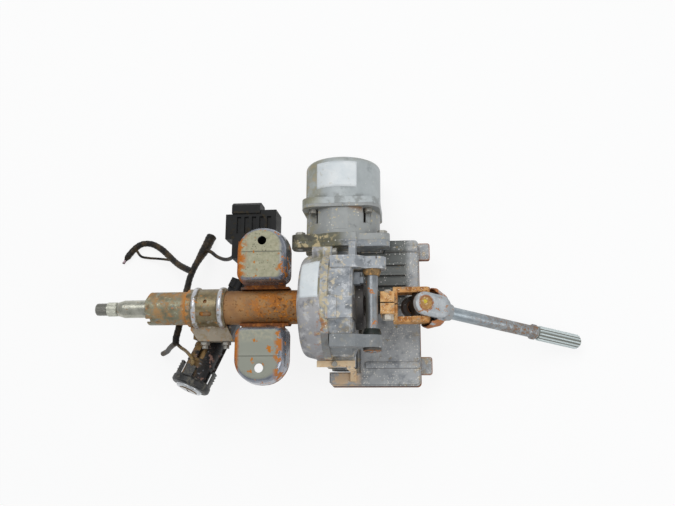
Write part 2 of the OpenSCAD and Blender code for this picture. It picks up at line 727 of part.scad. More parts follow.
module gear_housing() {
    arm_x = gear_wall_x - 15;
    arm_top = arm_r + 9;
    nose = 5;
    tunnel_y = motor_face - flange_t;
    web_y = arm_in + arm_t - 1;
    color("slategray") difference() {
        union() {
            rod(parting_x, gear_face_x - 2, gear_r);
            rod(parting_x, parting_x + 8, drum_r);
            column_line(gear_face_x - 2.5) cylinder(r1 = gear_r, r2 = gear_r - 5, h = 2.5);
            rod(gear_face_x - 1, hub_x, bearing_r + 9);
            rim_lugs(parting_x, parting_x + 10);
            across(worm_x, tunnel_end, worm_z) cylinder(r = tunnel_r, h = tunnel_y - tunnel_end + 1);
            translate([parting_x, -44, worm_z + 4]) cube([gear_wall_x + wall - parting_x, 88, 30]);
            motor_plate(tunnel_y, flange_t);
            for (s = [-1, 1]) {
                y0 = s > 0 ? arm_in : -arm_in - arm_t;
                // Arm whose upper face runs on over the housing
                translate([0, y0 + arm_t, 0]) rotate([90, 0, 0]) linear_extrude(arm_t) polygon([
                    [arm_x, -arm_r], [0, -arm_r], [0, arm_r], [-6, arm_r], [-17, arm_top], [arm_x, arm_top]]);
                across(0, y0, 0) cylinder(r = arm_r, h = arm_t);
                // Ribs from the arms down to the hub, and the feet that carry the control unit
                translate([gear_face_x - 4, s > 0 ? arm_in : -arm_in - 6, axis_z - 14])
                    cube([10, 6, 20]);
                translate([gear_face_x - 4, s > 0 ? 18 : -34, unit_z])
                    cube([foot_x + 11 - gear_face_x, 16, 10]);
            }
            // Longer end of the arm on the motor side
            translate([0, arm_in, -arm_r]) cube([nose, arm_t, 2 * arm_r]);
            across(nose, arm_in, 0) cylinder(r = arm_r, h = arm_t);
            // Stepped pad between the arms
            translate([parting_x + 6, pad_y, axis_z]) cube([12, pad_w, gear_r + 2.6]);
            translate([parting_x + 16, pad_y + 0.8, axis_z])
                cube([gear_face_x - parting_x - 14, pad_w - 1.6, gear_r + 1]);
            // Web between the arm and the motor's plate
            translate([worm_x + 12, web_y, axis_z - 16]) cube([8, tunnel_y + 1 - web_y, 20]);
            translate([worm_x + 12, tunnel_y - 1, axis_z - 18]) cube([8, flange_t + 0.98, 6]);
            // Ledge under the strap
            translate([parting_x, 0.4 - strap_out, strap_z - 16])
                cube([gear_face_x - 1 - parting_x, strap_out - cavity_r + 2, 16]);
        }
        rod(parting_x - 1, gear_wall_x, cavity_r);
        rod(gear_wall_x - 1, gear_wall_x + 14, bearing_r + seat);
        rod(gear_wall_x, hub_x + 1, output_r + 3);
        across(worm_x, tunnel_end - 1, worm_z) cylinder(r = tunnel_seat + seat, h = 21);
        across(worm_x, tunnel_end, worm_z) cylinder(r = tunnel_bore, h = 200);
        across(worm_x, 50, worm_z) cylinder(r = tunnel_seat + seat, h = 60);
        for (s = [-1, 1]) {
            across(0, s > 0 ? arm_in - 1 : -arm_in - arm_t - 1, 0) cylinder(r = bush_r + seat, h = arm_t + 2);
            translate([foot_x, s * 26, unit_z - 1]) cylinder(r = 2.6, h = 20);
        }
        // Slit across the longer arm end
        translate([nose, arm_in + arm_t - 3, -arm_r - 1]) cube([1.2, 4, 2 * arm_r + 2]);
        rim_holes(parting_x - 1, parting_x + 12, 2.8);
        plate_holes(tunnel_y - 1, flange_t + 2, 3.4);
        translate([strap_screw_x, -strap_in - 3.5, strap_z - 12]) cylinder(r = 2.1, h = 20);
    }
}
bush_r = sleeve_d / 2 + 2.3;
pad_y = -21.6;
pad_w = 24.8;
strap_z = axis_z - 1;
strap_in = drum_r + 0.4;
strap_out = strap_in + 7;
strap_screw_x = worm_x - 4;

module pivot_sleeve() {
    end = arm_in + arm_t + 1;
    color("darkgray") across(0, -end - 4, 0) difference() {
        cylinder(r = sleeve_d / 2, h = 2 * end + 4);
        translate([0, 0, -1]) cylinder(r = pivot_hole_r, h = 2 * end + 6);
    }
}

// Rubber bush: a tube through the arm with a cone-shaped flange on its inner side
module pivot_bushes() {
    r = sleeve_d / 2 + run;
    color("black") for (s = [-1, 1]) rotate([s > 0 ? -90 : 90, 0, 0]) rotate_extrude() polygon([
        [r, arm_in - 7], [r + 1.6, arm_in - 7], [bush_r + 1.2, arm_in - 2.5], [bush_r + 1.2, arm_in - 0.02],
        [bush_r, arm_in - 0.02], [bush_r, arm_in + arm_t], [r, arm_in + arm_t]]);
}

module pivot_washer() {
    y = arm_in + arm_t;
    color("peru") rotate([90, 0, 0]) rotate_extrude() polygon([
        [sleeve_d / 2 + 0.02, y + 0.02], [bush_r + 1, y + 0.02], [bush_r + 1, y + 3], [bush_r - 1, y + 4],
        [sleeve_d / 2 + 0.02, y + 4]]);
}

// Bearings

module shaft_bearings() {
    color("silver") {
        column_line(tube_x + 5) race(upper_r - 2.25, shaft_r + run, 12);
        column_line(socket_x) race(bearing_r, shaft_r + run, sensor_x - socket_x - 0.1);
        column_line(gear_wall_x + 0.1) race(bearing_r, output_r + 1 + run, 13.4);
    }
}

module drive_bearings() {
    color("silver") across(worm_x, 0, worm_z) {
        for (y = [tunnel_end + 10, 50.1]) translate([0, 0, y]) race(tunnel_seat, worm_shaft_r + run, 9.8);
        translate([0, 0, motor_flange]) race(13, motor_shaft_r + run, 7.9);
        translate([0, 0, motor_end - can_wall - 7]) race(9, motor_shaft_r + run, 6.9);
    }
}

module adjuster_plug() {
    color("gray") across(worm_x, tunnel_end - 3, worm_z) difference() {
        cylinder(r = tunnel_seat, h = 12.9);
        translate([0, 0, -1]) cylinder(r = 7, h = 7, $fn = 6);
    }
}

module sensor_coil() {
    color("darkolivegreen") pipe(sensor_x + 0.1, parting_x - 1.5, sensor_cavity - 0.1, shaft_r + 3 + free);
}

module sensor_connector() {
    color("gray") translate([gear_face_x + 0.1, 26.3, axis_z + 27]) {
        translate([0, -6.7, -5.5]) cube([7, 13.4, 11]);
        translate([6, -5.3, -4]) cube([4.9, 7, 8]);
    }
}

// Motor

module motor_can() {
    len = motor_end - bridge_y;
    r = motor_r;
    color("silver") across(worm_x, bridge_y, worm_z) difference() {
        union() {
            rotate_extrude() polygon(concat(
                [[0, 0], [r, 0]], arc(r - 7, len - 7, 7, 0, 90, 8), [[16, len], [14, len + 2], [0, len + 2]]));
            linear_extrude(2 * band_t) polygon(rounded(band_w, band_w, 17));
        }
        translate([0, 0, -1]) cylinder(r = r - can_wall, h = len - can_wall - 7 + 1);
        translate([0, 0, len - can_wall - 10]) cylinder(r = 9.05, h = 10);
    }
}

module motor_end_housing() {
    h = bridge_y - motor_flange;
    color("slategray") difference() {
        union() {
            motor_plate(motor_face, flange_t);
            across(worm_x, motor_flange - 1, worm_z) difference() {
                cylinder(r = motor_r - 1, h = h + 1);
                // Flat on the side of the mounting faces
                translate([-14, -motor_r - 3, 6]) cube([28, 5, h + 1]);
            }
            across(worm_x, bridge_y - band_t, worm_z) linear_extrude(band_t)
                polygon(rounded(band_w, band_w, 17));
            // End of the web from the gear housing
            translate([worm_x + 12, motor_face, axis_z - 18]) cube([8, flange_t + 1, 6]);
        }
        across(worm_x, motor_flange + 8, worm_z) cylinder(r = motor_r - 6, h = h);
        across(worm_x, motor_face - 1, worm_z) cylinder(r = 11, h = 40);
        across(worm_x, motor_flange - 0.1, worm_z) cylinder(r = 13.05, h = 30);
        plate_holes(motor_face - 1, flange_t + 2, 3.4);
        bridge_pockets();
    }
}

bridge_at = motor_r - 13;

// Clearance round the heads of the four can screws
module bridge_pockets() {
    for (sx = [-1, 1], sz = [-1, 1])
        across(worm_x + sx * bridge_at, motor_flange + 14, worm_z + sz * bridge_at) {
            cylinder(r = 7, h = bridge_y - band_t - motor_flange - 14);
            cylinder(r = 2.6, h = 60);
        }
}

module motor_screws() {
    color("gray") {
        for (sx = [-1, 1], sz = [-1, 1])
            across(worm_x + sx * bridge_at, bridge_y - band_t, worm_z + sz * bridge_at) {
                translate([0, 0, -5]) cylinder(r = 4.6, h = 4.98);
                translate([0, 0, -1]) cylinder(r = 2.5, h = band_t + 0.9);
            }
        for (s = [-1, 1]) across(worm_x + s * lug_x, motor_flange, worm_z + lug_z) {
            cylinder(r = 6, h = 5, $fn = 6);
            translate([0, 0, -2 * flange_t]) cylinder(r = 3.3, h = 2 * flange_t + 1);
        }
    }
}

module magnets() {
    r = motor_r - can_wall - 0.05;
    color("black") across(worm_x, bridge_y + 10, worm_z) for (a = [25, 205]) rotate([0, 0, a])
        rotate_extrude(angle = 130) translate([32, 0]) square([r - 32, 36]);
}

module brush_holder() {
    color("saddlebrown") across(worm_x, bridge_y - 6, worm_z) {
        difference() {
            cylinder(r = motor_r - 6.15, h = 4);
            translate([0, 0, -1]) cylinder(r = 17, h = 6);
        }
        for (a = [0 : 90 : 270]) rotate([0, 0, a]) translate([13.4, -3, 1]) cube([8, 6, 7]);
    }
}

// Control unit

// Outline with a corner left free for the motor and a hood beside the worm housing
module unit_outline(inset) {
    x0 = worm_x - 15 + inset;
    hood = tunnel_end - 5 - inset;
    notch_x = worm_x + motor_r + 3 + inset;
    notch_y = motor_face - flange_t - 2 - inset;
    y = unit_half - inset;
    polygon(concat(
        [[x0, -y + 4], [x0 + 4, -y]], arc(unit_x - inset - 5, 5 - y, 5, 270, 360, 5),
        arc(unit_x - inset - 5, y - 5, 5, 0, 90, 5),
        [[notch_x, y], [notch_x, notch_y], [unit_x0 + inset, notch_y], [unit_x0 + inset, hood], [x0, hood]]));
}

// Places of the two tabs: middle and half width across the column, and the start of the ridge behind each
tabs = [[unit_half - 11, 10.5, unit_x - 40], [-unit_half + 24, 10.5, unit_x - 64]];

module unit_tabs(t) {
    for (tab = tabs) translate([unit_x - 6, tab[0] - tab[1], 0]) linear_extrude(t)
        polygon(concat([[0, 0]], arc(17, 3, 3, 270, 360, 4), arc(17, 2 * tab[1] - 3, 3, 0, 90, 4),
            [[0, 2 * tab[1]]]));
}

module ecu_cover() {
    color("darkslategray") translate([0, 0, unit_z - unit_h]) difference() {
        union() {
            linear_extrude(unit_h - 1.5) unit_outline(0);
            linear_extrude(unit_h) unit_outline(1.5);
            unit_tabs(5);
            for (tab = tabs) translate([tab[2], tab[0], unit_h - 3]) rotate([0, 90, 0])
                cylinder(r = 5.4, h = unit_x - 1 - tab[2]);
            for (i = [0 : 4]) translate([2, 56 - 12.6 * i, unit_h - 1]) cube([34, 2.6, rib_h + 1]);
        }
        difference() {
            translate([0, 0, -1]) linear_extrude(unit_h - 2.5) unit_outline(3.4);
            // Posts that hold the circuit board
            for (y = [-60, 40], x = [unit_x0 + 21, unit_x - 14]) translate([x, y, 8.1]) cylinder(r = 4, h = 40);
            for (y = [-26, 26]) translate([foot_x, y, 0]) cylinder(r = 5.8, h = 40);
        }
        for (y = [-26, 26]) translate([foot_x, y, unit_h - 9]) cylinder(r = 2.6, h = 20);
    }
}

module ecu_base() {
    color("sienna") translate([0, 0, unit_z - unit_h - plate_t]) {
        linear_extrude(plate_t - 0.02) unit_outline(-0.8);
        unit_tabs(plate_t - 0.02);
    }
}

module circuit_board() {
    color("darkgreen") translate([0, 0, unit_z - unit_h]) {
        translate([unit_x0 + 16, -unit_half + 6, 6.4]) cube([unit_x - unit_x0 - 21, 2 * unit_half - 40, 1.6]);
        // Legs down to the base plate
        for (y = [-60, 40], x = [unit_x0 + 21, unit_x - 14]) translate([x, y, 0]) cylinder(r = 3, h = 7);
        translate([unit_x0 + 22, -20, 7.9]) cube([20, 14, 5]);
        for (y = [0, 12]) translate([unit_x - 24, y, 7.9]) cylinder(r = 4.5, h = 6);
    }
}

module ecu_screws() {
    color("gray") {
        for (y = [-26, 26]) translate([foot_x, y, unit_z + 10]) {
            cylinder(r = 4.4, h = 4);
            translate([0, 0, -18]) cylinder(r = 2.5, h = 19);
        }
        translate([strap_screw_x, -strap_in - 3.5, strap_z + sheet_t + 0.04]) {
            cylinder(r = 3.2, h = 1.8);
            translate([0, 0, -12]) cylinder(r = 2.05, h = 13);
        }
    }
}

// Strap on the gear housing's ledge, with a leg that is bent down to the control unit's hood
module ecu_strap() {
    top = strap_z + 0.02;
    low = unit_z + 0.02;
    x0 = parting_x - 10;
    x1 = gear_face_x - 1;
    t = sheet_t;
    color("tan") difference() {
        union() {
            translate([x0, -strap_out, top]) cube([x1 - x0, strap_out - strap_in, t]);
            translate([x1 - 9, 0, 0]) rotate([90, 0, 90]) linear_extrude(7) polygon([
                [1 - strap_out, top], [1 - strap_out, top + t], [-strap_out - t, top + t],
                [-strap_out - t, low + t], [5 - unit_half, low + t], [5 - unit_half, low],
                [-strap_out, low], [-strap_out, top]]);
        }
        translate([strap_screw_x, -strap_in - 3.5, top - 1]) cylinder(r = 2.3, h = 10);
    }
}

// Steering lock

// Frame of the lock: z along its axis towards the key, y upwards
module lock_frame() {
    translate([lock_x, 0, lock_z]) rotate([90 - lock_tilt, 0, -lock_turn]) children();
}

module lock_housing() {
    color("black") difference() {
        union() {
            lock_frame() {
                translate([0, 0, -24]) cylinder(r = lock_r, h = lock_front - 10 + 24);
                translate([0, 0, 48]) cylinder(r = lock_r + 1, h = 4);
                translate([0, 0, 67]) cylinder(r = lock_r + 1, h = 3);
                for (a = [-20, 200]) rotate([0, 0, a]) translate([lock_r - 2, -2, 20]) cube([5, 4, 54]);
            }
            // Cradle under the tube that runs down into the round body
            hull() {
                translate([clamp_x0 + 5, clamp_y + 0.1, axis_z - 22]) cube([clamp_x1 - clamp_x0, 56, 21.7]);
                lock_frame() translate([0, 0, -20]) cylinder(r = lock_r + 2, h = 44, $fn = 32);
            }
        }
        rod(clamp_x0 - 20, clamp_x1 + 20, clamp_in);
        for (x = shear_x) across(x, clamp_y - 1, axis_z - shear_drop) cylinder(r = 3.25, h = 13);
        lock_frame() {
            translate([0, 0, 34]) cylinder(r = barrel_r + 0.1, h = lock_front);
            translate([0, 0, -30]) cylinder(r = 3.5, h = 80);
            // Window that the coded face of the barrel shows through
            translate([-4, 8, 52]) cube([8, 14, 14]);
        }
        bolt_shape(0.25, 20, 3);
    }
}

// Lock bolt: body with a window for the barrel's spindle, and a narrower nose
module bolt_shape(grow, above, below) {
    z1 = axis_z - bolt_tip;
    z0 = lock_z - 13;
    translate([lock_x, 0, 0]) rotate([0, 0, -lock_turn]) {
        translate([-bolt_w / 2 - grow, -bolt_t / 2 - grow, z0 - below])
            cube([bolt_w + 2 * grow, bolt_t + 2 * grow, z1 - 6 - z0 + below + (grow > 0 ? 6 : 0)]);
        translate([-3.5 - grow, -bolt_t / 2 - grow, z1 - 7])
            cube([7 + 2 * grow, bolt_t + 2 * grow, 7 + above]);
    }
}

module lock_bolt() {
    color("silver") difference() {
        bolt_shape(0, 0, 0);
        translate([lock_x, 0, lock_z - 2.2]) rotate([0, 0, -lock_turn]) cube([7.4, 20, 16.6], center = true);
    }
}

module lock_barrel() {
    color("gainsboro") lock_frame() difference() {
        union() {
            translate([0, 0, 34.4]) cylinder(r = barrel_r, h = lock_front - 36);
            translate([0, 0, lock_front - 2]) cylinder(r1 = barrel_r, r2 = barrel_r - 1, h = 2);
            translate([0, 0, -34]) cylinder(r = 3, h = 69);
        }
        translate([-1.2, -5.5, lock_front - 18]) cube([2.4, 11, 30]);
    }
}

module lock_trim() {
    color("silver") lock_frame() translate([0, 0, lock_front - 9.9]) rotate_extrude() polygon([
        [barrel_r + 0.35, 0], [lock_r, 0], [lock_r, 7], [lock_r - 1.5, 9], [barrel_r + 0.35, 9]]);
}

module antenna_ring() {
    color("black") lock_frame() {
        translate([0, 0, lock_front - 14]) difference() {
            rotate_extrude() polygon([
                [lock_r + seat, 0], [21, 0], [23, 3], [23, 8], [21, 10], [lock_r + seat, 10]]);
            for (s = [-1, 1]) translate([s * 19.5 - 1, -3, -1]) cube([2, 6, 4]);
        }
        // Serrated clips that run back along the lock
        for (s = [0, 180]) rotate([0, 0, s]) translate([lock_r + 2.6, -4, lock_front - 30]) {
            cube([3, 8, 17]);
            for (i = [0 : 3]) translate([3, 0, 1 + 3.4 * i]) rotate([-90, 0, 0]) linear_extrude(8)
                polygon([[-1, -2.6], [1.2, 0], [-1, 0]]);
        }
        // Plug pocket for the lead
        translate([-8, lock_r + 0.3, lock_front - 26]) cube([10, 5, 13]);
    }
}

module ignition_switch() {
    color("black") lock_frame() translate([0, 0, -41]) difference() {
        union() {
            translate([-11, -12, 0]) cube([22, 24, 12]);
            cylinder(r = 13, h = 16.9);
            translate([-8, -20, 2]) cube([16, 9, 8]);
        }
        translate([0, 0, 5]) cylinder(r = 3.5, h = 20);
    }
}

// Connector block

block_x0 = mount_x - 42;
block_x1 = mount_x + 10;
block_z = cup_base - sheet_t - 4;

module connector_block() {
    color("black") difference() {
        union() {
            translate([block_x0, 58, block_z - 34]) cube([block_x1 - block_x0, 58, 34]);
            // Sloped latch strip along the far edge and the flange at the wheel side
            translate([block_x0 - 1, 0, 0]) rotate([90, 0, 90]) linear_extrude(34) polygon([
                [112, block_z - 30], [126, block_z - 24], [126, block_z - 4],
                [122, block_z + 2], [112, block_z + 2]]);
            translate([block_x0 - 9, 82, block_z - 30]) cube([10, 30, 28]);
        }
        for (i = [0 : 4]) translate([block_x0 + 5 + 9 * i, 88, block_z - 2.5]) cube([5, 20, 5]);
    }
}

module connector_holder() {
    color("sienna") {
        translate([mount_x - 34, cup_y + 22, block_z]) cube([22, 32, 1.6]);
        translate([mount_x - 31.5, cup_y + 22, block_z]) cube([2.4, 16, cup_base - sheet_t - 0.02 - block_z]);
        translate([mount_x - 29.5, cup_y + 22, cup_base - sheet_t - 1.62]) cube([6, 16, 1.6]);
    }
}

// Wire harness

function lerp_point(p, i, t) = let (
    a = p[max(i - 1, 0)], b = p[i], c = p[i + 1], d = p[min(i + 2, len(p) - 1)])
    0.5 * (2 * b + (c - a) * t + (2 * a - 5 * b + 4 * c - d) * t * t + (3 * b - a - 3 * c + d) * t * t * t);
function smooth(p, n) = concat(
    [for (i = [0 : len(p) - 2], k = [0 : n - 1]) lerp_point(p, i, k / n)], [p[len(p) - 1]]);
function unit(v) = v / norm(v);

// Round lead along a smooth line through hand-set points
module lead(route, r, n = 3) {
    m = 10;
    p = smooth(route, n);
    last = len(p) - 1;
    rings = [for (i = [0 : last], k = [0 : m - 1]) let (
        t = unit(p[min(i + 1, last)] - p[max(i - 1, 0)]),
        u = unit(cross(t, [0.1, 0.2, 1])), v = cross(t, u), a = 360 * k / m)
        p[i] + r * (u * cos(a) + v * sin(a))];
    sides = [for (i = [0 : last - 1], k = [0 : m - 1]) let (q = (k + 1) % m)
        [i * m + k, i * m + q, (i + 1) * m + q, (i + 1) * m + k]];
    ends = [[for (k = [m - 1 : -1 : 0]) k], [for (k = [0 : m - 1]) last * m + k]];
    polyhedron(rings, concat(sides, ends), convexity = 8);
}

module harness_trunk() {
    color("black") lead([
        [lock_x - 62, -38, -64], [lock_x - 61, -30, -61], [lock_x - 58, -20, -59],
        [lock_x - 56, -8, -59], [lock_x - 55, 5, -61], [lock_x - 54.5, 19, -67],
        [lock_x - 54.5, 34, -75], [lock_x - 54, 49, -83], [lock_x - 51.5, 65, -93],
        [lock_x - 48, 80, -104], [lock_x - 44, 95, -114], [lock_x - 40, 110, -121]], 4);
}

module antenna_lead() {
    color("black") lead([
        [lock_x - 29.8, -65.5, -28.5], [lock_x - 29, -59.5, -27.5], [lock_x - 35, -53, -34],
        [lock_x - 44, -47, -47], [lock_x - 53, -42, -56], [lock_x - 61, -36, -62]], 2);
}

module lower_tail() {
    color("black") lead([
        [lock_x - 61, -36, -62], [lock_x - 70, -38, -75], [lock_x - 79, -39.5, -92],
        [lock_x - 88, -41.5, -110], [lock_x - 98, -43, -124]], 3.2);
}

module left_tail() {
    color("black") lead([
        [lock_x - 54, 57, -88], [lock_x - 66, 63, -95], [lock_x - 79, 71, -103],
        [lock_x - 93, 83, -111], [lock_x - 106, 94, -117], [lock_x - 121, 102, -122],
        [lock_x - 134, 103, -124], [lock_x - 144, 98, -125], [lock_x - 152, 89, -125],
        [lock_x - 160, 77, -125]], 3.7);
}

module thin_wire() {
    color("black") lead([
        [lock_x - 144, 97, -125.5], [lock_x - 137, 87, -126.5], [lock_x - 126, 84, -125],
        [lock_x - 113, 82, -121], [lock_x - 98, 79, -114], [lock_x - 83, 75, -106]], 1.6);
}

module connector_lead() {
    color("black") lead([
        [lock_x - 46.5, 88, -109], [lock_x - 36, 86, -104], [lock_x - 24, 77, -94],
        [lock_x - 11, 70, -80], [lock_x + 1, 67, -64], [block_x0 + 0.5, 68, block_z - 20]], 2.3);
}

steering_shaft();
torsion_bar();
sensor_sleeve();
output_shaft();
wheel_hub();
wheel_rim();
lock_collar();
input_yoke();
input_cups();
pinch_bolt();
worm();
coupling();
armature();
joint_cross();
output_yoke();
output_cups();
intermediate_shaft();
upper_tube();
lower_tube();
lock_clamp();
shear_bolts();
saddle_bracket();
cup_motor_side();
cup_key_side();
sensor_housing();
housing_screws();
gear_housing();
pivot_sleeve();
pivot_bushes();
pivot_washer();
shaft_bearings();
drive_bearings();
adjuster_plug();
sensor_coil();
sensor_connector();
motor_can();
motor_end_housing();
motor_screws();
magnets();
brush_holder();
ecu_cover();
ecu_base();
circuit_board();
ecu_screws();
ecu_strap();
lock_housing();
lock_bolt();
lock_barrel();
lock_trim();
antenna_ring();
ignition_switch();
connector_block();
connector_holder();
harness_trunk();
antenna_lead();
lower_tail();
left_tail();
thin_wire();
connector_lead();
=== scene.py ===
"""Steering column with electric assist, dressed in the finishes of a used part.

Lengths in this file are millimetres in the frame of the column: the origin is the centre of the
lower pivot sleeve, +X runs from the wheel to the rack, +Y to the motor, +Z out of the mount faces.
"""
import math

import bpy
import numpy as np
from mathutils import Matrix, Vector


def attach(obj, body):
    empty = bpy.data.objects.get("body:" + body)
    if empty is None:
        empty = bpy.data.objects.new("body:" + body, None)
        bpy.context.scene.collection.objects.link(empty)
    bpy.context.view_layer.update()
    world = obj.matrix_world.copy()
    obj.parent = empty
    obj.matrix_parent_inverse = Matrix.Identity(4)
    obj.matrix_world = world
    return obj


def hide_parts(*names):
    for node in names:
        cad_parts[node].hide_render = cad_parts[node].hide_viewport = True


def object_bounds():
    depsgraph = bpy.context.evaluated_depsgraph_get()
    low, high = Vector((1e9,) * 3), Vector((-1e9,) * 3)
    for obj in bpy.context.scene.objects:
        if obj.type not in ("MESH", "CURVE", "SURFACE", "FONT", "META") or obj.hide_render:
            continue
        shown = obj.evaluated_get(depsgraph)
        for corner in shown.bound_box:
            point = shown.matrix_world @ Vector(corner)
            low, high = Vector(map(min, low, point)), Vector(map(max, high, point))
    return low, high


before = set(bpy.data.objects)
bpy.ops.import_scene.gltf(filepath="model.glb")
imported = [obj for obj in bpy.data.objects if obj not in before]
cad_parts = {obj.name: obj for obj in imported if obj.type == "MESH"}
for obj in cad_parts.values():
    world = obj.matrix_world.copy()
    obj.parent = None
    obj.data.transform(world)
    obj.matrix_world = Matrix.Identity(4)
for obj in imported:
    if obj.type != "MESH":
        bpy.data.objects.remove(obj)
cad_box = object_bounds()
scene = bpy.context.scene
scene.view_settings.view_transform = "Standard"
MM = 0.001
TURN = 2 * np.pi
AXIS_Z = -26.0


# Camera over the mounting faces, leaning a little to the key side and the rack end

IMAGE_W = 675
FOCAL_PX = 745.45
DISTANCE = 820.0
LEAN_KEY, LEAN_RACK, ROLL = (math.radians(a) for a in (13.0, 6.0, 1.2))
PIVOT_OFFSET = Vector((37.95, -54.34, -DISTANCE))

look = (Matrix.Rotation(ROLL, 3, "Z") @ Matrix.Rotation(-LEAN_RACK, 3, "Y")
        @ Matrix.Rotation(-LEAN_KEY, 3, "X")).transposed()
camera = bpy.data.objects.new("camera", bpy.data.cameras.new("camera"))
camera.matrix_world = Matrix.Translation(look @ PIVOT_OFFSET * -MM) @ look.to_4x4()
camera.data.sensor_fit = "HORIZONTAL"
camera.data.lens = camera.data.sensor_width * FOCAL_PX / IMAGE_W
camera.data.clip_start = 0.01
scene.collection.objects.link(camera)
scene.camera = camera


# Tools for finishes

def linear(code):
    """Linear colour of an sRGB hex code: c / 12.92 when dark, ((c + 0.055) / 1.055) ^ 2.4 otherwise."""
    c = np.array([int(code[i:i + 2], 16) / 255 for i in (1, 3, 5)])
    return (*np.where(c <= 0.04045, c / 12.92, ((c + 0.055) / 1.055) ** 2.4).tolist(), 1.0)


def add(tree, kind, sockets=None, **settings):
    """Adds one node and sets its properties, then sets or links its sockets, a node by its first output."""
    new = tree.nodes.new("ShaderNode" + kind)
    for key, value in settings.items():
        setattr(new, key, value)
    for key, value in (sockets or {}).items():
        source = value.outputs[0] if isinstance(value, bpy.types.Node) else value
        if isinstance(source, bpy.types.NodeSocket):
            tree.links.new(source, new.inputs[key])
        else:
            new.inputs[key].default_value = source
    return new


def calc(tree, operation, *values, **settings):
    """Adds one math node on numbers, sockets or nodes."""
    return add(tree, "Math", dict(enumerate(values)), operation=operation, **settings)


def dot(tree, one, other):
    """Adds the dot product of two vectors."""
    return add(tree, "VectorMath", {0: one, 1: other}, operation="DOT_PRODUCT").outputs["Value"]


def noise(tree, place, size, detail, roughness=0.5):
    """Adds cloudy noise of a size in mm."""
    return add(tree, "TexNoise", {"Vector": place, "Scale": 1000 / size, "Detail": detail,
                                  "Roughness": roughness})


def tint(tree, share, under, tone):
    """Mixes a tone over a colour, by a share."""
    return add(tree, "Mix", {0: share, 6: under, 7: linear(tone)}, data_type="RGBA").outputs[2]


def bare_material(name):
    """A new material and its emptied node tree."""
    material = bpy.data.materials.new(name)
    material.use_nodes = True
    material.node_tree.nodes.clear()
    return material, material.node_tree


def cover(tree, coords, terms):
    """Where a layer of stain or of painted light lies, from 0 to 1: the product of terms with sizes in mm.

    patches: cloudy noise of a size, above a level. specks: dots at a spacing, with a radius as a share
    of it and the share of dots kept. edges: where a rounding of a radius turns the surface. hollows:
    where little sky is open within a reach. along: a fade between two stations on a direction.
    around: a fade between two distances from a line through a point. facing: faces towards a direction.
    """
    total = None
    place = coords.outputs["Object"]
    for kind, *v in terms:
        if kind == "patches":
            size, low, high = v
            raw = noise(tree, place, size, 5.0, 0.62)
        elif kind == "specks":
            spacing, radius, share = v
            cell = add(tree, "TexVoronoi", {"Vector": place, "Scale": 1000 / spacing})
            kept = calc(tree, "GREATER_THAN", cell.outputs["Color"], 1 - share)
            near = calc(tree, "SUBTRACT", radius, cell.outputs["Distance"])
            raw = calc(tree, "MULTIPLY", near, kept)
            low, high = 0.0, radius / 2
        elif kind == "edges":
            radius, low, high = v
            soft = add(tree, "Bevel", {"Radius": radius * MM}, samples=4)
            true = add(tree, "NewGeometry").outputs["Normal"]
            raw = dot(tree, soft, true)
        elif kind == "hollows":
            reach, low, high = v
            raw = add(tree, "AmbientOcclusion", {"Distance": reach * MM}, samples=6).outputs["AO"]
        elif kind == "along":
            way, low, high = v[0], v[1] * MM, v[2] * MM
            raw = dot(tree, place, way)
        elif kind == "around":
            point, way, low, high = [c * MM for c in v[0]], v[1], v[2] * MM, v[3] * MM
            off = add(tree, "VectorMath", {0: place, 1: point}, operation="SUBTRACT")
            square = add(tree, "VectorMath", {0: off, 1: way}, operation="CROSS_PRODUCT")
            raw = add(tree, "VectorMath", {0: square}, operation="LENGTH").outputs["Value"]
        else:
            way, low, high = v
            raw = dot(tree, coords.outputs["Normal"], way)
        term = add(tree, "MapRange", {"Value": raw, "From Min": low, "From Max": high},
                   interpolation_type="SMOOTHSTEP")
        total = term if total is None else calc(tree, "MULTIPLY", total, term)
    return total


def finish(name, tones, cloud, metallic, roughness, layers=(), grit=(0.9, 0.05), rounding=0.0, gloss=0.5):
    """A weathered finish: two tones in clouds of a size, then stains, and in some finishes painted shade and
    highlights, laid over one another.

    A layer is (tone, terms of its cover, strength, roughness, metallic, lift in mm), with 0 for the last
    two where they are left out. Grit is the size and depth of the fine grain, rounding the radius that a
    sharp edge appears to have, and gloss the shader's specular level.
    """
    material, tree = bare_material(name)
    coords = add(tree, "TexCoord")
    place = coords.outputs["Object"]
    clouds = noise(tree, place, cloud, 6.0, 0.65)
    blend = add(tree, "MapRange", {"Value": clouds, "From Min": 0.36, "From Max": 0.64})
    colour = tint(tree, blend, linear(tones[0]), tones[1])
    rough = add(tree, "MapRange", {"Value": clouds, "From Min": 0.3, "From Max": 0.7,
                                   "To Min": roughness - 0.07, "To Max": roughness + 0.07})
    metal = metallic
    grain = noise(tree, place, grit[0], 3.0)
    height = calc(tree, "MULTIPLY", grain, grit[1])
    for tone, terms, strength, layer_rough, *rest in layers:
        layer_metal, lift = (*rest, 0.0, 0.0)[:2]
        mask = cover(tree, coords, terms)
        share = calc(tree, "MULTIPLY", mask, strength)
        colour = tint(tree, share, colour, tone)
        rough = add(tree, "Mix", {0: share, 2: rough, 3: layer_rough})
        if layer_metal != metallic:
            metal = add(tree, "Mix", {0: share, 2: metal, 3: layer_metal})
        if lift:
            height = calc(tree, "MULTIPLY_ADD", mask, lift, height)
    relief = {"Strength": 1.0, "Distance": MM, "Height": height}
    if rounding:
        relief["Normal"] = add(tree, "Bevel", {"Radius": rounding * MM}, samples=4)
    bump = add(tree, "Bump", relief)
    shader = add(tree, "BsdfPrincipled", {"Base Color": colour, "Roughness": rough, "Metallic": metal,
                                          "Specular IOR Level": gloss, "Normal": bump})
    add(tree, "OutputMaterial", {"Surface": shader})
    return material


UP = (0.0, 0.0, 1.0)
ALONG = (1.0, 0.0, 0.0)
MOTORWARD = (0.0, 1.0, 0.0)
KEYWARD = (0.0, -1.0, 0.0)


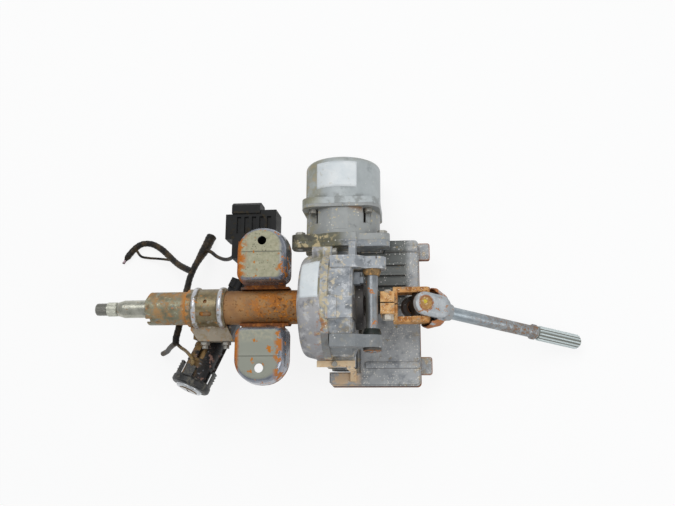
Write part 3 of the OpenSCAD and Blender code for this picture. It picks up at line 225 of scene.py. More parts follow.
def fades(way):
    """Makes the function that gives the term for a fade between two stations on a direction."""
    return lambda low, high: ("along", way, low, high)


rackward, motorward, keyward, upward = map(fades, (ALONG, MOTORWARD, KEYWARD, UP))

# Drawn steel tube left bare: an even brown skin of rust that turns orange and flakes near the drum
brown_rust_tube = finish("brown_rust_tube", ("#8f6a48", "#ab8254"), 16, 0.0, 0.7, [
    ("#b06c2c", [("patches", 14, 0.45, 0.58), rackward(-175, -110)], 0.85, 0.85, 0.0, 0.08),
    ("#c9802f", [("patches", 3.5, 0.5, 0.6), rackward(-165, -98)], 0.9, 0.9, 0.0, 0.12),
    ("#7a4a1c", [("patches", 3, 0.55, 0.62), rackward(-150, -110)], 0.85, 0.9, 0.0, -0.06),
    ("#a38c70", [("patches", 11, 0.5, 0.62), rackward(-120, -185)], 0.5, 0.6),
    ("#55361f", [("patches", 4, 0.57, 0.66)], 0.7, 0.85, 0.0, -0.05),
    # painted shade: dark brown on the faces of the tube turned towards the motor
    ("#4f371f", [("facing", MOTORWARD, 0.45, 0.95)], 0.55, 0.8),
    ("#cdbd9c", [("specks", 2.4, 0.3, 0.25), ("patches", 14, 0.45, 0.58), rackward(-165, -130)],
     0.6, 0.8, 0.0, 0.03)], grit=(1.2, 0.07), gloss=0.3)

# Zinc plated tube: dull olive grey where the zinc has gone, tan rust in clouds, orange next to the clamp
zinc_tube = finish("zinc_tube_spotted", ("#73715c", "#8e8b73"), 12, 0.35, 0.37, [
    ("#aa8150", [("patches", 10, 0.44, 0.6)], 0.85, 0.75, 0.0, 0.02),
    ("#9c7442", [("facing", MOTORWARD, 0.3, 0.85), ("patches", 9, 0.4, 0.54)], 0.7, 0.8),
    ("#7f8885", [("patches", 7, 0.57, 0.64)], 0.85, 0.45, 0.4),
    ("#57523f", [("patches", 5, 0.58, 0.66)], 0.65, 0.5, 0.2),
    ("#c9c8ae", [("patches", 6, 0.6, 0.68)], 0.7, 0.3, 0.7),
    ("#c8843c", [("patches", 9, 0.36, 0.5), rackward(-221, -214)], 0.95, 0.85, 0.0, 0.06),
    ("#c07a3a", [("patches", 4, 0.6, 0.68)], 0.7, 0.85, 0.0, 0.05)], grit=(1.0, 0.03), rounding=0.4)

# Turned steel of the wheel end: grey with a soft sheen and a little tan stain, dark thread, pale serrations
turned_steel = finish("turned_steel", ("#9d9d91", "#c3c2b5"), 10, 0.75, 0.32, [
    ("#8a6a40", [("patches", 5, 0.6, 0.68)], 0.8, 0.7, 0.1),
    ("#73726d", [rackward(-311, -313)], 0.85, 0.4, 0.6),
    ("#d6d6c8", [rackward(-313, -312), rackward(-300, -301)], 0.8, 0.35, 0.7),
    ("#55534a", [rackward(-300.8, -300.2), rackward(-298, -299)], 0.6, 0.5, 0.6)],
    grit=(0.7, 0.02), rounding=0.3)

# Pressed clamp: two beads with painted highlights, olive grey between them with pale patches painted as
# highlights, a dusty tan side plate, rust in the slot
BEADS = (-203.5, -173.5)
clamp_steel = finish("plated_clamp_steel", ("#6d6148", "#8f8264"), 9, 0.5, 0.36, [
    # painted highlights: pale patches with a sheen over the olive grey
    ("#c9c8ba", [("patches", 7, 0.55, 0.66)], 0.75, 0.35, 0.6),
    ("#988e7e", [keyward(20, 26)], 0.85, 0.66, 0.1),
    ("#84745a", [keyward(20, 26), ("patches", 8, 0.5, 0.62)], 0.75, 0.75),
    ("#9c8a62", [("patches", 8, 0.55, 0.66)], 0.5, 0.6, 0.3),
    ("#5f4a2c", [("patches", 7, 0.52, 0.64), keyward(22, 16)], 0.55, 0.6, 0.2),
    # painted highlight along the crest of each bead
    *[("#d6d9e0", [rackward(x - 3.4, x - 1.2), rackward(x + 3.4, x + 1.2), keyward(26, 22),
                   ("patches", 6, 0.34, 0.5)], 0.82, 0.3, 0.6) for x in BEADS],
    ("#b47a3a", [("patches", 5, 0.615, 0.655)], 0.9, 0.85, 0.0, 0.05),
    ("#c08342", [rackward(-206, -212.5), ("patches", 5, 0.44, 0.56)], 0.9, 0.8, 0.0, 0.04),
    ("#b0622a", [("hollows", 4, 0.62, 0.3)], 0.85, 0.9)], grit=(0.8, 0.02), rounding=0.5)

# Pressed steel cup: glossy plated walls, a dusty face round the bolt hole that is olive on the motor's side
# and grey green on the key's side, a band of orange rust on the wall towards the wheel
FACE = ("facing", UP, 0.8, 0.985)
OLIVE_FACE = [FACE, rackward(-101, -106), motorward(-2, 2)]
cup_steel = finish("dusty_pressed_steel", ("#7d818a", "#a0a4ad"), 18, 0.75, 0.25, [
    ("#5c5d5f", [("patches", 6, 0.6, 0.68)], 0.5, 0.4, 0.6),
    ("#8f9184", [FACE, rackward(-101, -105)], 0.95, 0.6, 0.1),
    ("#96947a", OLIVE_FACE, 0.9, 0.75, 0.05),
    ("#b3b093", [*OLIVE_FACE, ("patches", 3.2, 0.36, 0.7)], 0.6, 0.8, 0.0, 0.02),
    ("#b5b098", [FACE, keyward(46, 36), ("patches", 4, 0.34, 0.7)], 0.65, 0.8, 0.0, 0.02),
    ("#4a4836", [FACE, ("specks", 2.4, 0.36, 0.34), motorward(-2, 2)], 0.75, 0.8, 0.0, -0.04),
    # painted shade: a dark line along the crease across each face
    *[("#55564d", [FACE, fade(57.6, 58.2), fade(59.4, 58.8)], 0.7, 0.8) for fade in (motorward, keyward)],
    ("#b2661c", [rackward(-145, -149), ("patches", 10, 0.3, 0.4)], 1.0, 0.95, 0.0, 0.06),
    ("#b2661c", [rackward(-138, -147), motorward(20, 32), ("patches", 7, 0.44, 0.5)], 1.0, 0.95, 0.0, 0.06),
    ("#b86f24", [rackward(-109, -104), rackward(-97, -100), keyward(20, 30), ("patches", 8, 0.47, 0.53)],
     0.95, 0.95, 0.0, 0.06),
    ("#b86f24", [rackward(-112, -102), motorward(70, 50), motorward(10, 20), ("patches", 9, 0.53, 0.57)],
     0.95, 0.95, 0.0, 0.06),
    ("#8c4d1c", [rackward(-144, -150), ("patches", 4, 0.54, 0.62)], 0.85, 0.95, 0.0, 0.03),
    ("#ba7328", [("patches", 9, 0.605, 0.63)], 1.0, 0.95, 0.0, 0.06),
    ("#74492a", [upward(-11, -15.5), ("patches", 6, 0.42, 0.55)], 0.8, 0.85)], grit=(1.1, 0.02))

# Dirt on the plate that joins the gear housing and the motor: olive on its wheel side, with beige lumps
PLATE = [motorward(73, 74), motorward(91, 90)]
PLATE_DIRT = [
    ("#67654f", [*PLATE, rackward(-30, -44)], 0.85, 0.8, 0.05),
    ("#4d4b44", [*PLATE, rackward(-60, -80), ("patches", 9, 0.45, 0.58)], 0.8, 0.8, 0.05),
    ("#cdbc94", [*PLATE, rackward(-34, -62), ("patches", 8, 0.54, 0.6)], 0.9, 0.9, 0.0, 0.1)]

# Sand cast aluminium: blue grey, freckled with pale oxide, beige road dirt in the hollows, a beige band at
# the parting, a smooth lower arm, painted highlights along its edges, and painted shade in its hollows and
# in the hollow round the hub
cast_aluminium = finish("sand_cast_aluminium", ("#92979d", "#abafb3"), 26, 0.2, 0.55, [
    ("#ccced0", [("patches", 9, 0.52, 0.63)], 0.85, 0.62, 0.15),
    ("#6f747a", [("patches", 22, 0.5, 0.6)], 0.55, 0.6, 0.2),
    ("#5f6366", [("patches", 12, 0.56, 0.65)], 0.75, 0.6, 0.2),
    ("#d3c6ab", [("patches", 7, 0.55, 0.63)], 0.8, 0.85, 0.0, 0.05),
    # painted highlight: pale grey along rounded edges
    ("#cdd0d3", [("edges", 2.5, 0.985, 0.9), ("patches", 9, 0.4, 0.55)], 0.6, 0.5, 0.3),
    ("#9a8458", [("patches", 17, 0.57, 0.66)], 0.4, 0.8, 0.1),
    ("#bdac88", [("hollows", 9, 0.7, 0.35), ("patches", 9, 0.4, 0.58)], 0.7, 0.9),
    ("#c3b48f", [rackward(-44.5, -46.2), ("patches", 5, 0.42, 0.56)], 0.8, 0.85, 0.0, 0.06),
    ("#a8703f", [rackward(-44.5, -46.2), keyward(12, 22), ("patches", 6, 0.48, 0.6)], 0.8, 0.85),
    ("#777b7d", [keyward(35.8, 36.6), upward(-12, -10)], 0.85, 0.5, 0.2),
    # painted shade: dark in the hollow round the hub, between the arms
    ("#352d27", [rackward(-20.2, -18.6), motorward(36, 33), keyward(36, 33)], 0.88, 0.6),
    # painted shade: dark grey in the hollows
    ("#4c4a46", [("hollows", 5, 0.42, 0.12)], 0.75, 0.85),
    *PLATE_DIRT,
    ("#7f868b", [*PLATE, rackward(-24, -10)], 0.6, 0.55, 0.2),
    ("#e4e2dc", [("specks", 3.1, 0.33, 0.33), ("patches", 24, 0.42, 0.58)], 0.85, 0.75, 0.1, 0.05)],
    grit=(1.3, 0.09), rounding=1.0)

# The sensor drum is the same alloy with a smoother skin: grey violet, olive stains beside the label
drum_aluminium = finish("shell_cast_aluminium", ("#9a9a9d", "#b0afb1"), 30, 0.2, 0.5, [
    ("#cacaca", [("patches", 11, 0.51, 0.63)], 0.8, 0.55, 0.15),
    ("#73747a", [("patches", 17, 0.53, 0.63)], 0.7, 0.55, 0.2),
    ("#7d7650", [("patches", 13, 0.44, 0.58), rackward(-70, -57), motorward(-14, 4)], 0.75, 0.7, 0.05),
    ("#8b8568", [("facing", MOTORWARD, 0.5, 0.9), ("patches", 12, 0.42, 0.56)], 0.6, 0.8),
    ("#c9bb9b", [("patches", 8, 0.57, 0.65)], 0.7, 0.85, 0.0, 0.04),
    ("#a86f40", [("patches", 9, 0.5, 0.6), rackward(-66, -56), keyward(8, 18)], 0.75, 0.85),
    # painted shade: darker grey on the faces turned towards the key
    ("#5b5c60", [("facing", KEYWARD, 0.75, 1.0)], 0.5, 0.6, 0.2),
    ("#dad8d2", [("specks", 4.2, 0.24, 0.25), ("patches", 24, 0.45, 0.6)], 0.7, 0.75, 0.1, 0.04)],
    grit=(1.3, 0.06), rounding=1.0)

# Die cast motor housing: even warm grey, pale specks of oxide, beige dirt at its wheel side, rust inside
motor_casting = finish("die_cast_motor_housing", ("#8d908f", "#a3a6a5"), 30, 0.15, 0.52, [
    ("#6c6e6e", [("patches", 16, 0.57, 0.68)], 0.55, 0.6, 0.2),
    ("#a39c7e", [("patches", 12, 0.44, 0.58), rackward(-58, -80)], 0.75, 0.85, 0.0, 0.03),
    ("#a5723a", [rackward(-34, -26), rackward(-12, -16), motorward(108, 114), ("hollows", 12, 0.8, 0.45)],
     0.85, 0.9),
    ("#8a7a5c", [("hollows", 8, 0.6, 0.3), ("patches", 9, 0.42, 0.56)], 0.7, 0.9),
    *PLATE_DIRT,
    ("#e0dccf", [("specks", 4.0, 0.27, 0.28), ("patches", 30, 0.42, 0.58)], 0.85, 0.75, 0.1, 0.06),
    ("#d5c59c", [("patches", 5, 0.61, 0.66)], 0.75, 0.85, 0.0, 0.05)], grit=(1.2, 0.06), rounding=0.9)

# Deep drawn motor can: satin grey paint gone matte, olive and tan dirt on its wheel side and at its end
motor_can_paint = finish("drawn_motor_can", ("#a6acad", "#b9bfc0"), 34, 0.12, 0.5, [
    ("#83898b", [("patches", 20, 0.56, 0.68)], 0.5, 0.5, 0.2),
    ("#8b876a", [rackward(-54, -76), ("patches", 24, 0.24, 0.6)], 0.85, 0.8),
    ("#c6b08a", [("patches", 12, 0.5, 0.7), rackward(-58, -76)], 0.75, 0.9, 0.0, 0.02),
    ("#8f8d7c", [motorward(177, 184), ("patches", 14, 0.34, 0.68)], 0.55, 0.75),
    ("#7a7c78", [motorward(142, 136), ("patches", 12, 0.45, 0.6)], 0.6, 0.7, 0.1),
    ("#d8d6cc", [("specks", 4.4, 0.22, 0.3), ("patches", 30, 0.42, 0.6)], 0.75, 0.7, 0.1, 0.04)],
    grit=(1.0, 0.04), rounding=0.6)

# Die cast control unit cover: blue grey, with painted shade between its ribs, in its hollows and on its
# sides towards the rack end and the key, pale salt spots thickest near its far edge, rust along the rim
# of its tabs
cover_casting = finish("die_cast_unit_cover", ("#a0a3a6", "#b4b6b7"), 22, 0.1, 0.6, [
    ("#b9bcbe", [("patches", 9, 0.54, 0.66)], 0.6, 0.6, 0.2),
    ("#777c82", [("patches", 16, 0.54, 0.66)], 0.6, 0.6, 0.2),
    # painted shade: darker grey over the ribbed part, between its ribs
    ("#50544f", [motorward(-2, 10), rackward(44, 34)], 0.8, 0.65, 0.1),
    ("#6d706f", [motorward(-2, 10), rackward(46, 34), ("patches", 7, 0.5, 0.62)], 0.7, 0.65, 0.1),
    # painted shade: dark in the hollows
    ("#33363a", [("hollows", 6, 0.62, 0.3)], 0.75, 0.7, 0.1),
    ("#9a8555", [("patches", 10, 0.62, 0.67)], 0.75, 0.85),
    ("#c4b191", [rackward(36, 54), ("patches", 6, 0.55, 0.62)], 0.85, 0.85, 0.0, 0.05),
    ("#dcdad4", [("specks", 2.6, 0.36, 0.42), ("patches", 16, 0.36, 0.5)], 0.95, 0.8, 0.05, 0.06),
    ("#e0ddd3", [("specks", 1.8, 0.45, 0.5), rackward(26, 46), ("patches", 10, 0.4, 0.54)],
     0.9, 0.8, 0.05, 0.05),
    ("#dcd9d0", [("specks", 2.0, 0.45, 0.4), keyward(4, 20), ("patches", 13, 0.47, 0.58)],
     0.9, 0.8, 0.05, 0.05),
    ("#747980", [keyward(4, 20), ("patches", 12, 0.52, 0.68)], 0.55, 0.65, 0.1),
    # painted shade: dark on the sides turned towards the rack end and the key
    *[("#3a2d26", [("facing", way, 0.55, 0.9)], 0.8, 0.8) for way in (ALONG, KEYWARD)],
    ("#dcbd98", [rackward(-14, -24), keyward(60, 68), ("facing", UP, 0.5, 0.9), ("patches", 15, 0.4, 0.52)],
     0.85, 0.9, 0.0, 0.05),
    ("#a8662e", [rackward(52, 54), ("edges", 3.2, 0.99, 0.88)], 0.95, 0.9),
    ("#7a4526", [upward(-87, -91), ("patches", 7, 0.34, 0.48)], 0.9, 0.9, 0.0, 0.04)],
    grit=(1.2, 0.08), rounding=0.8)

# Sheet steel with its paint gone: orange and brown scale
rusty_sheet = finish("scaled_sheet_steel", ("#6f4124", "#9a5c2c"), 9, 0.0, 0.82, [
    ("#b8763a", [("patches", 5, 0.52, 0.62)], 0.8, 0.9, 0.0, 0.06),
    ("#3f2a1d", [("patches", 7, 0.56, 0.66)], 0.8, 0.85, 0.0, -0.04),
    ("#5b5c5c", [("patches", 14, 0.58, 0.68)], 0.6, 0.5, 0.4)], grit=(1.1, 0.07), rounding=0.4, gloss=0.3)

# Forged yoke under flaking orange rust with a pale dusting, thickest on its clamp
rust_forging = finish("orange_rust_forging", ("#c0864c", "#d8a66b"), 7, 0.0, 0.8, [
    ("#8f5423", [("patches", 5, 0.5, 0.6)], 0.8, 0.9, 0.0, -0.05),
    ("#dcb27c", [rackward(28, 24), ("patches", 7, 0.4, 0.56)], 0.75, 0.85),
    ("#efe2cb", [("specks", 1.7, 0.38, 0.42), ("patches", 10, 0.38, 0.52)], 0.8, 0.85, 0.0, 0.06),
    ("#9a9284", [("patches", 8, 0.57, 0.66)], 0.6, 0.7, 0.1),
    ("#8f8b84", [("edges", 0.9, 0.97, 0.8), ("patches", 6, 0.5, 0.62)], 0.5, 0.5, 0.4),
    ("#3a2a20", [("hollows", 6, 0.5, 0.2)], 0.85, 0.9)], grit=(1.0, 0.1), rounding=0.8, gloss=0.3)

# Frame of the intermediate shaft, from the middle of the joint
DROOP, SWING = math.radians(25.5), math.radians(-9)
SHAFT_WAY = (math.cos(SWING) * math.cos(DROOP), math.sin(SWING), -math.cos(SWING) * math.sin(DROOP))
SHAFT_SIDE = (-math.sin(SWING) * math.cos(DROOP), math.cos(SWING), math.sin(SWING) * math.sin(DROOP))
SHAFT_TOP = (math.sin(DROOP), 0.0, math.cos(DROOP))
JOINT = np.array((51.0, 0.0, AXIS_Z))
FOOT_WAY, FOOT_SIDE, FOOT_TOP = (float(JOINT @ np.array(way)) for way in (SHAFT_WAY, SHAFT_SIDE, SHAFT_TOP))
OTHER_SIDE, SHAFT_BELOW = (tuple(-c for c in way) for way in (SHAFT_SIDE, SHAFT_TOP))


def down_shaft(low, high):
    """A fade between two distances from the joint, down the intermediate shaft."""
    return "along", SHAFT_WAY, FOOT_WAY + low, FOOT_WAY + high


# Plated forging: pale blue grey ears with rust flecks, orange rust on the lobes at both sides, painted
# shade on its underside
plated_forging = finish("plated_forging", ("#a2a7ab", "#c0c4c6"), 9, 0.3, 0.45, [
    ("#7b7f82", [("patches", 6, 0.57, 0.67)], 0.55, 0.5, 0.3),
    ("#8d8f90", [down_shaft(22, 30)], 0.6, 0.5, 0.3),
    *[("#b26c33", [("along", way, foot + 13.2, foot + 14.6), ("patches", 8, 0.34, 0.46)],
       0.92, 0.85, 0.0, 0.03) for way, foot in ((SHAFT_SIDE, FOOT_SIDE), (OTHER_SIDE, -FOOT_SIDE))],
    ("#b0722f", [("patches", 4, 0.6, 0.645)], 0.9, 0.85, 0.0, 0.04),
    ("#a3632c", [("around", JOINT, SHAFT_TOP, 9.8, 8.4), ("patches", 4, 0.36, 0.5)], 0.9, 0.85),
    # painted shade: near black on the side below the joint
    ("#33291f", [("along", SHAFT_BELOW, 4 - FOOT_TOP, 9 - FOOT_TOP)], 0.88, 0.6, 0.1),
    ("#dcdad2", [("specks", 2.4, 0.3, 0.3)], 0.6, 0.7, 0.1, 0.03),
    ("#4d3524", [("hollows", 7, 0.42, 0.12)], 0.8, 0.9)], grit=(1.0, 0.04), rounding=0.9)

# Pressed needle cups gone tan and brown, and the oily cross between them
rusty_cups = finish("rusted_needle_cups", ("#9a7040", "#bd935c"), 4, 0.1, 0.7, [
    ("#cdb58c", [("patches", 3, 0.52, 0.62)], 0.8, 0.8, 0.0, 0.03),
    ("#8a4a1e", [("edges", 1.6, 0.98, 0.85)], 0.8, 0.85)], grit=(0.9, 0.06), rounding=0.6, gloss=0.3)
oily_steel = finish("oily_forged_steel", ("#241d18", "#3b3028"), 7, 0.2, 0.45, [
    ("#5c4b3a", [("edges", 1.2, 0.98, 0.82)], 0.6, 0.5, 0.2)], grit=(0.9, 0.04), rounding=0.6)

# Drawn steel shaft: pale blue grey, brown rust that gathers towards the bead, pale spline with painted
# shade in its grooves
SPLINE = down_shaft(152, 155)
lower_steel = finish("drawn_shaft_steel", ("#8d979e", "#abb4b9"), 9, 0.5, 0.4, [
    ("#c9d0d2", [("patches", 5, 0.57, 0.66)], 0.6, 0.35, 0.6),
    ("#7c7168", [("patches", 5, 0.4, 0.66), down_shaft(40, 100)], 0.7, 0.6, 0.2),
    ("#806a56", [("patches", 3, 0.38, 0.64), down_shaft(60, 140)], 0.85, 0.8, 0.0, 0.03),
    ("#96602f", [("patches", 3, 0.55, 0.65), down_shaft(50, 110)], 0.75, 0.85, 0.0, 0.03),
    ("#d2dcdc", [SPLINE], 0.95, 0.4, 0.2),
    # painted shade: dark in the grooves of the spline, inside the ridges' radius
    ("#66665c", [SPLINE, ("around", JOINT, SHAFT_WAY, 7.75, 7.4)], 0.9, 0.6, 0.1)],
    grit=(0.9, 0.04), rounding=0.3)

# Zinc plated steel of the pivot sleeve: bright along one side, painted shade along the side towards the
# wheel, a few rust spots
zinc_sleeve = finish("zinc_plated_steel", ("#7c8084", "#9a9ea1"), 12, 0.7, 0.36, [
    # painted shade: darker olive on the side turned towards the wheel
    ("#6f6a5a", [("facing", ALONG, -0.3, -0.8)], 0.6, 0.5, 0.4),
    ("#c2793a", [("patches", 8, 0.61, 0.64)], 0.95, 0.85, 0.0, 0.04),
    ("#5a5048", [("patches", 5, 0.62, 0.68)], 0.5, 0.6, 0.3)], grit=(0.8, 0.02), rounding=0.3)
bolt_head = finish("dusty_bolt_steel", ("#bdb6a9", "#cfc9bd"), 5, 0.2, 0.5, [
    ("#a4793f", [("patches", 4, 0.57, 0.65)], 0.7, 0.8)], grit=(0.8, 0.03), rounding=0.5)
plated_screw = finish("plated_screw_steel", ("#86847e", "#a3a199"), 5, 0.4, 0.42, [
    ("#8a6a45", [("patches", 4, 0.56, 0.65)], 0.65, 0.75, 0.1),
    ("#4b4a48", [("hollows", 4, 0.55, 0.2)], 0.7, 0.8, 0.1)], grit=(0.7, 0.02), rounding=0.4)
rusty_washer = finish("rusted_washer", ("#45413c", "#5f5952"), 5, 0.2, 0.6, [
    ("#9a6b42", [keyward(52.4, 53.4), ("patches", 4, 0.4, 0.52)], 0.85, 0.85, 0.0, 0.05),
    ("#8a5a34", [("patches", 5, 0.57, 0.65)], 0.8, 0.85, 0.0, 0.03)], grit=(0.9, 0.06), rounding=0.5)

# Strap of sheet steel under a thick coat of dry tan dust
dusty_strap = finish("dusty_strap_steel", ("#e3c59c", "#eed8b8"), 9, 0.0, 0.82, [
    ("#b9b4aa", [("patches", 8, 0.58, 0.66)], 0.7, 0.6, 0.2),
    ("#b9824c", [("patches", 5, 0.6, 0.67)], 0.7, 0.85, 0.0, 0.03)],
    grit=(1.0, 0.06), rounding=0.5, gloss=0.3)

# Lock body: black enamelled casting, dry brown dirt on the side towards the wheel, worn pinkish spots
lock_black = finish("black_enamel_casting", ("#141416", "#232221"), 12, 0.0, 0.42, [
    ("#8a6c40", [("patches", 10, 0.42, 0.56), ("facing", (-0.8, 0.0, 0.6), 0.15, 0.75)],
     0.85, 0.9, 0.0, 0.04),
    ("#97766a", [("patches", 6, 0.575, 0.64)], 0.8, 0.75),
    ("#7d828a", [("patches", 5, 0.6, 0.66), ("facing", UP, 0.3, 0.9)], 0.6, 0.45, 0.2),
    ("#55585c", [("edges", 0.8, 0.97, 0.8), ("patches", 5, 0.46, 0.6)], 0.5, 0.4, 0.3)],
    grit=(1.2, 0.06), rounding=0.8, gloss=0.3)

# Moulded black nylon of plugs and rings, dusty on top
black_moulding = finish("black_moulded_nylon", ("#0a0b0b", "#131415"), 14, 0.0, 0.48, [
    ("#463d2c", [("patches", 9, 0.56, 0.66), ("facing", UP, 0.2, 0.9)], 0.55, 0.9, 0.0, 0.03),
    ("#54575a", [("edges", 0.6, 0.97, 0.78)], 0.3, 0.4)], grit=(0.9, 0.03), rounding=0.5, gloss=0.2)
dusty_moulding = finish("dusty_moulded_nylon", ("#1b1c1d", "#2a2b2b"), 9, 0.0, 0.45, [
    ("#6a675d", [("patches", 5, 0.5, 0.64)], 0.7, 0.85, 0.0, 0.02),
    # painted highlight: pale grey along the ring's edges
    ("#85888a", [("edges", 1.0, 0.98, 0.8)], 0.5, 0.4)], grit=(0.9, 0.03), rounding=0.6, gloss=0.4)
worn_chrome = finish("worn_nickel_plating", ("#bcc0c4", "#d6d9db"), 6, 0.6, 0.3, [
    ("#7b6a58", [("patches", 4, 0.57, 0.66)], 0.75, 0.7, 0.1)], grit=(0.7, 0.02), rounding=0.3)

# Key barrel: brown tarnished brass with a bright plated front
LOCK_TILT, LOCK_TURN = math.radians(12), math.radians(22)
LOCK_WAY = (-math.cos(LOCK_TILT) * math.sin(LOCK_TURN), -math.cos(LOCK_TILT) * math.cos(LOCK_TURN),
            math.sin(LOCK_TILT))
barrel_brass = finish("tarnished_brass", ("#6a5230", "#86693d"), 5, 0.5, 0.5, [
    ("#3c2c1c", [("hollows", 5, 0.5, 0.2)], 0.8, 0.8),
    ("#c3c6c8", [("facing", LOCK_WAY, 0.85, 0.96)], 0.9, 0.3, 0.8),
    ("#8a7a66", [("facing", LOCK_WAY, 0.85, 0.96), ("patches", 4, 0.58, 0.66)], 0.7, 0.7, 0.1)],
    grit=(0.8, 0.03), rounding=0.4)

# Bush rubber: clean and dark at the lower arm, under rust and dirt at the upper one
bush_rubber = finish("black_bush_rubber", ("#0f1512", "#1f2823"), 7, 0.0, 0.45, [
    ("#5a5140", [("patches", 6, 0.6, 0.66)], 0.5, 0.9),
    ("#8f7450", [motorward(20, 26), ("patches", 6, 0.34, 0.46)], 0.92, 0.9, 0.0, 0.08),
    ("#c79a62", [motorward(20, 26), ("patches", 4, 0.53, 0.6)], 0.9, 0.9, 0.0, 0.08)],
    grit=(0.9, 0.04), rounding=0.6, gloss=0.4)
grey_plug = finish("grey_moulded_plug", ("#6a6f75", "#878c91"), 6, 0.0, 0.5, [
    ("#3c3f42", [("hollows", 4, 0.6, 0.25)], 0.7, 0.7)], grit=(0.8, 0.03), rounding=0.5)

# Pieces inside the castings
ground_steel = finish("ground_bearing_steel", ("#9b9fa3", "#b4b8bb"), 8, 0.9, 0.22, [
    ("#6b665c", [("hollows", 4, 0.6, 0.3)], 0.5, 0.6, 0.4)], grit=(0.6, 0.01), rounding=0.2)
gear_nylon = finish("greased_gear_nylon", ("#cfc7ad", "#e0dac4"), 12, 0.0, 0.38, [
    ("#a88f4e", [("hollows", 5, 0.7, 0.35)], 0.7, 0.3)], grit=(0.8, 0.02), rounding=0.3)
copper_winding = finish("enamelled_copper", ("#8a4a22", "#b06a35"), 4, 0.8, 0.35, [
    ("#3c2a20", [("hollows", 3, 0.6, 0.3)], 0.7, 0.6, 0.2)], grit=(1.1, 0.12), rounding=0.4)
ferrite = finish("sintered_ferrite", ("#232324", "#343537"), 8, 0.1, 0.6, grit=(0.8, 0.03), rounding=0.4)
phenolic = finish("moulded_phenolic", ("#4a2a17", "#61391f"), 10, 0.0, 0.45, grit=(0.9, 0.03), rounding=0.4)
coil_resin = finish("cast_coil_resin", ("#2f3524", "#454b34"), 9, 0.0, 0.4, grit=(0.9, 0.02), rounding=0.4)
board_green = finish("glass_fibre_board", ("#0f4a2a", "#166038"), 12, 0.0, 0.4, [
    ("#c9a24a", [("specks", 4.0, 0.2, 0.5)], 0.9, 0.35, 0.8, 0.02)], grit=(0.7, 0.02), rounding=0.2)

# Dull label paper: cool white, dust in its grain, tan stains
label_paper = finish("white_label_paper", ("#d3dadd", "#e3e7e8"), 20, 0.0, 0.5, [
    ("#b9b39e", [("patches", 9, 0.58, 0.7)], 0.4, 0.7),
    ("#8f8a78", [("specks", 5.0, 0.1, 0.3)], 0.7, 0.8)], grit=(0.6, 0.01))
wire_insulation = finish("pale_wire_insulation", ("#b49aa6", "#cbb6bf"), 3, 0.0, 0.45, grit=(0.6, 0.01))
dark_insulation = finish("dark_wire_insulation", ("#2b2724", "#453c33"), 4, 0.0, 0.5, grit=(0.6, 0.02))
foam_seal = finish("grey_foam_seal", ("#85888a", "#9a9b9b"), 6, 0.0, 0.85, [
    ("#b9ac90", [("patches", 5, 0.5, 0.6)], 0.7, 0.9)], grit=(0.8, 0.1), rounding=0.6)
yellow_paint = finish("yellow_paint_dab", ("#b9a01e", "#d6c53a"), 2, 0.0, 0.55, grit=(0.7, 0.05))


def harness_finish():
    """Black cloth tape wound with a half lap: a dark line at each lap, brown dust, a fine cross weave.

    The lap lines follow the lead, so they read its own map: across is along the lead in laps, up is round it.
    The lead at the lock lies under dry tan dirt.
    """
    material, tree = bare_material("dusty_cloth_tape")
    coords = add(tree, "TexCoord")
    place = coords.outputs["Object"]
    part = add(tree, "SeparateXYZ", {0: coords.outputs["UV"]})
    turns = calc(tree, "ADD", part.outputs[0], part.outputs[1])
    lap = calc(tree, "FRACT", turns)
    line = add(tree, "MapRange", {"Value": lap, "From Min": 0.16, "From Max": 0.02},
               interpolation_type="SMOOTHSTEP")
    dust = noise(tree, place, 14, 6.0, 0.7)
    dusty = add(tree, "MapRange", {"Value": dust, "From Min": 0.45, "From Max": 0.65})
    worn = cover(tree, coords, [keyward(37, 43), rackward(-240, -231),
                                ("patches", 7, 0.3, 0.56), ("facing", UP, -0.2, 0.5)])
    colour = linear("#1b1815")
    for share, tone in ((dusty, "#4f3f28"), (worn, "#8c744c"), (line, "#100e0d")):
        colour = tint(tree, share, colour, tone)
    weave = noise(tree, place, 0.8, 2.0)
    rise = calc(tree, "MULTIPLY", weave, 0.12)
    step = calc(tree, "MULTIPLY_ADD", lap, 0.2, rise)
    bump = add(tree, "Bump", {"Strength": 1.0, "Distance": MM, "Height": step})
    shader = add(tree, "BsdfPrincipled", {"Base Color": colour, "Roughness": 0.46,
                                          "Specular IOR Level": 0.28, "Normal": bump})
    add(tree, "OutputMaterial", {"Surface": shader})
    return material


cloth_tape = harness_finish()

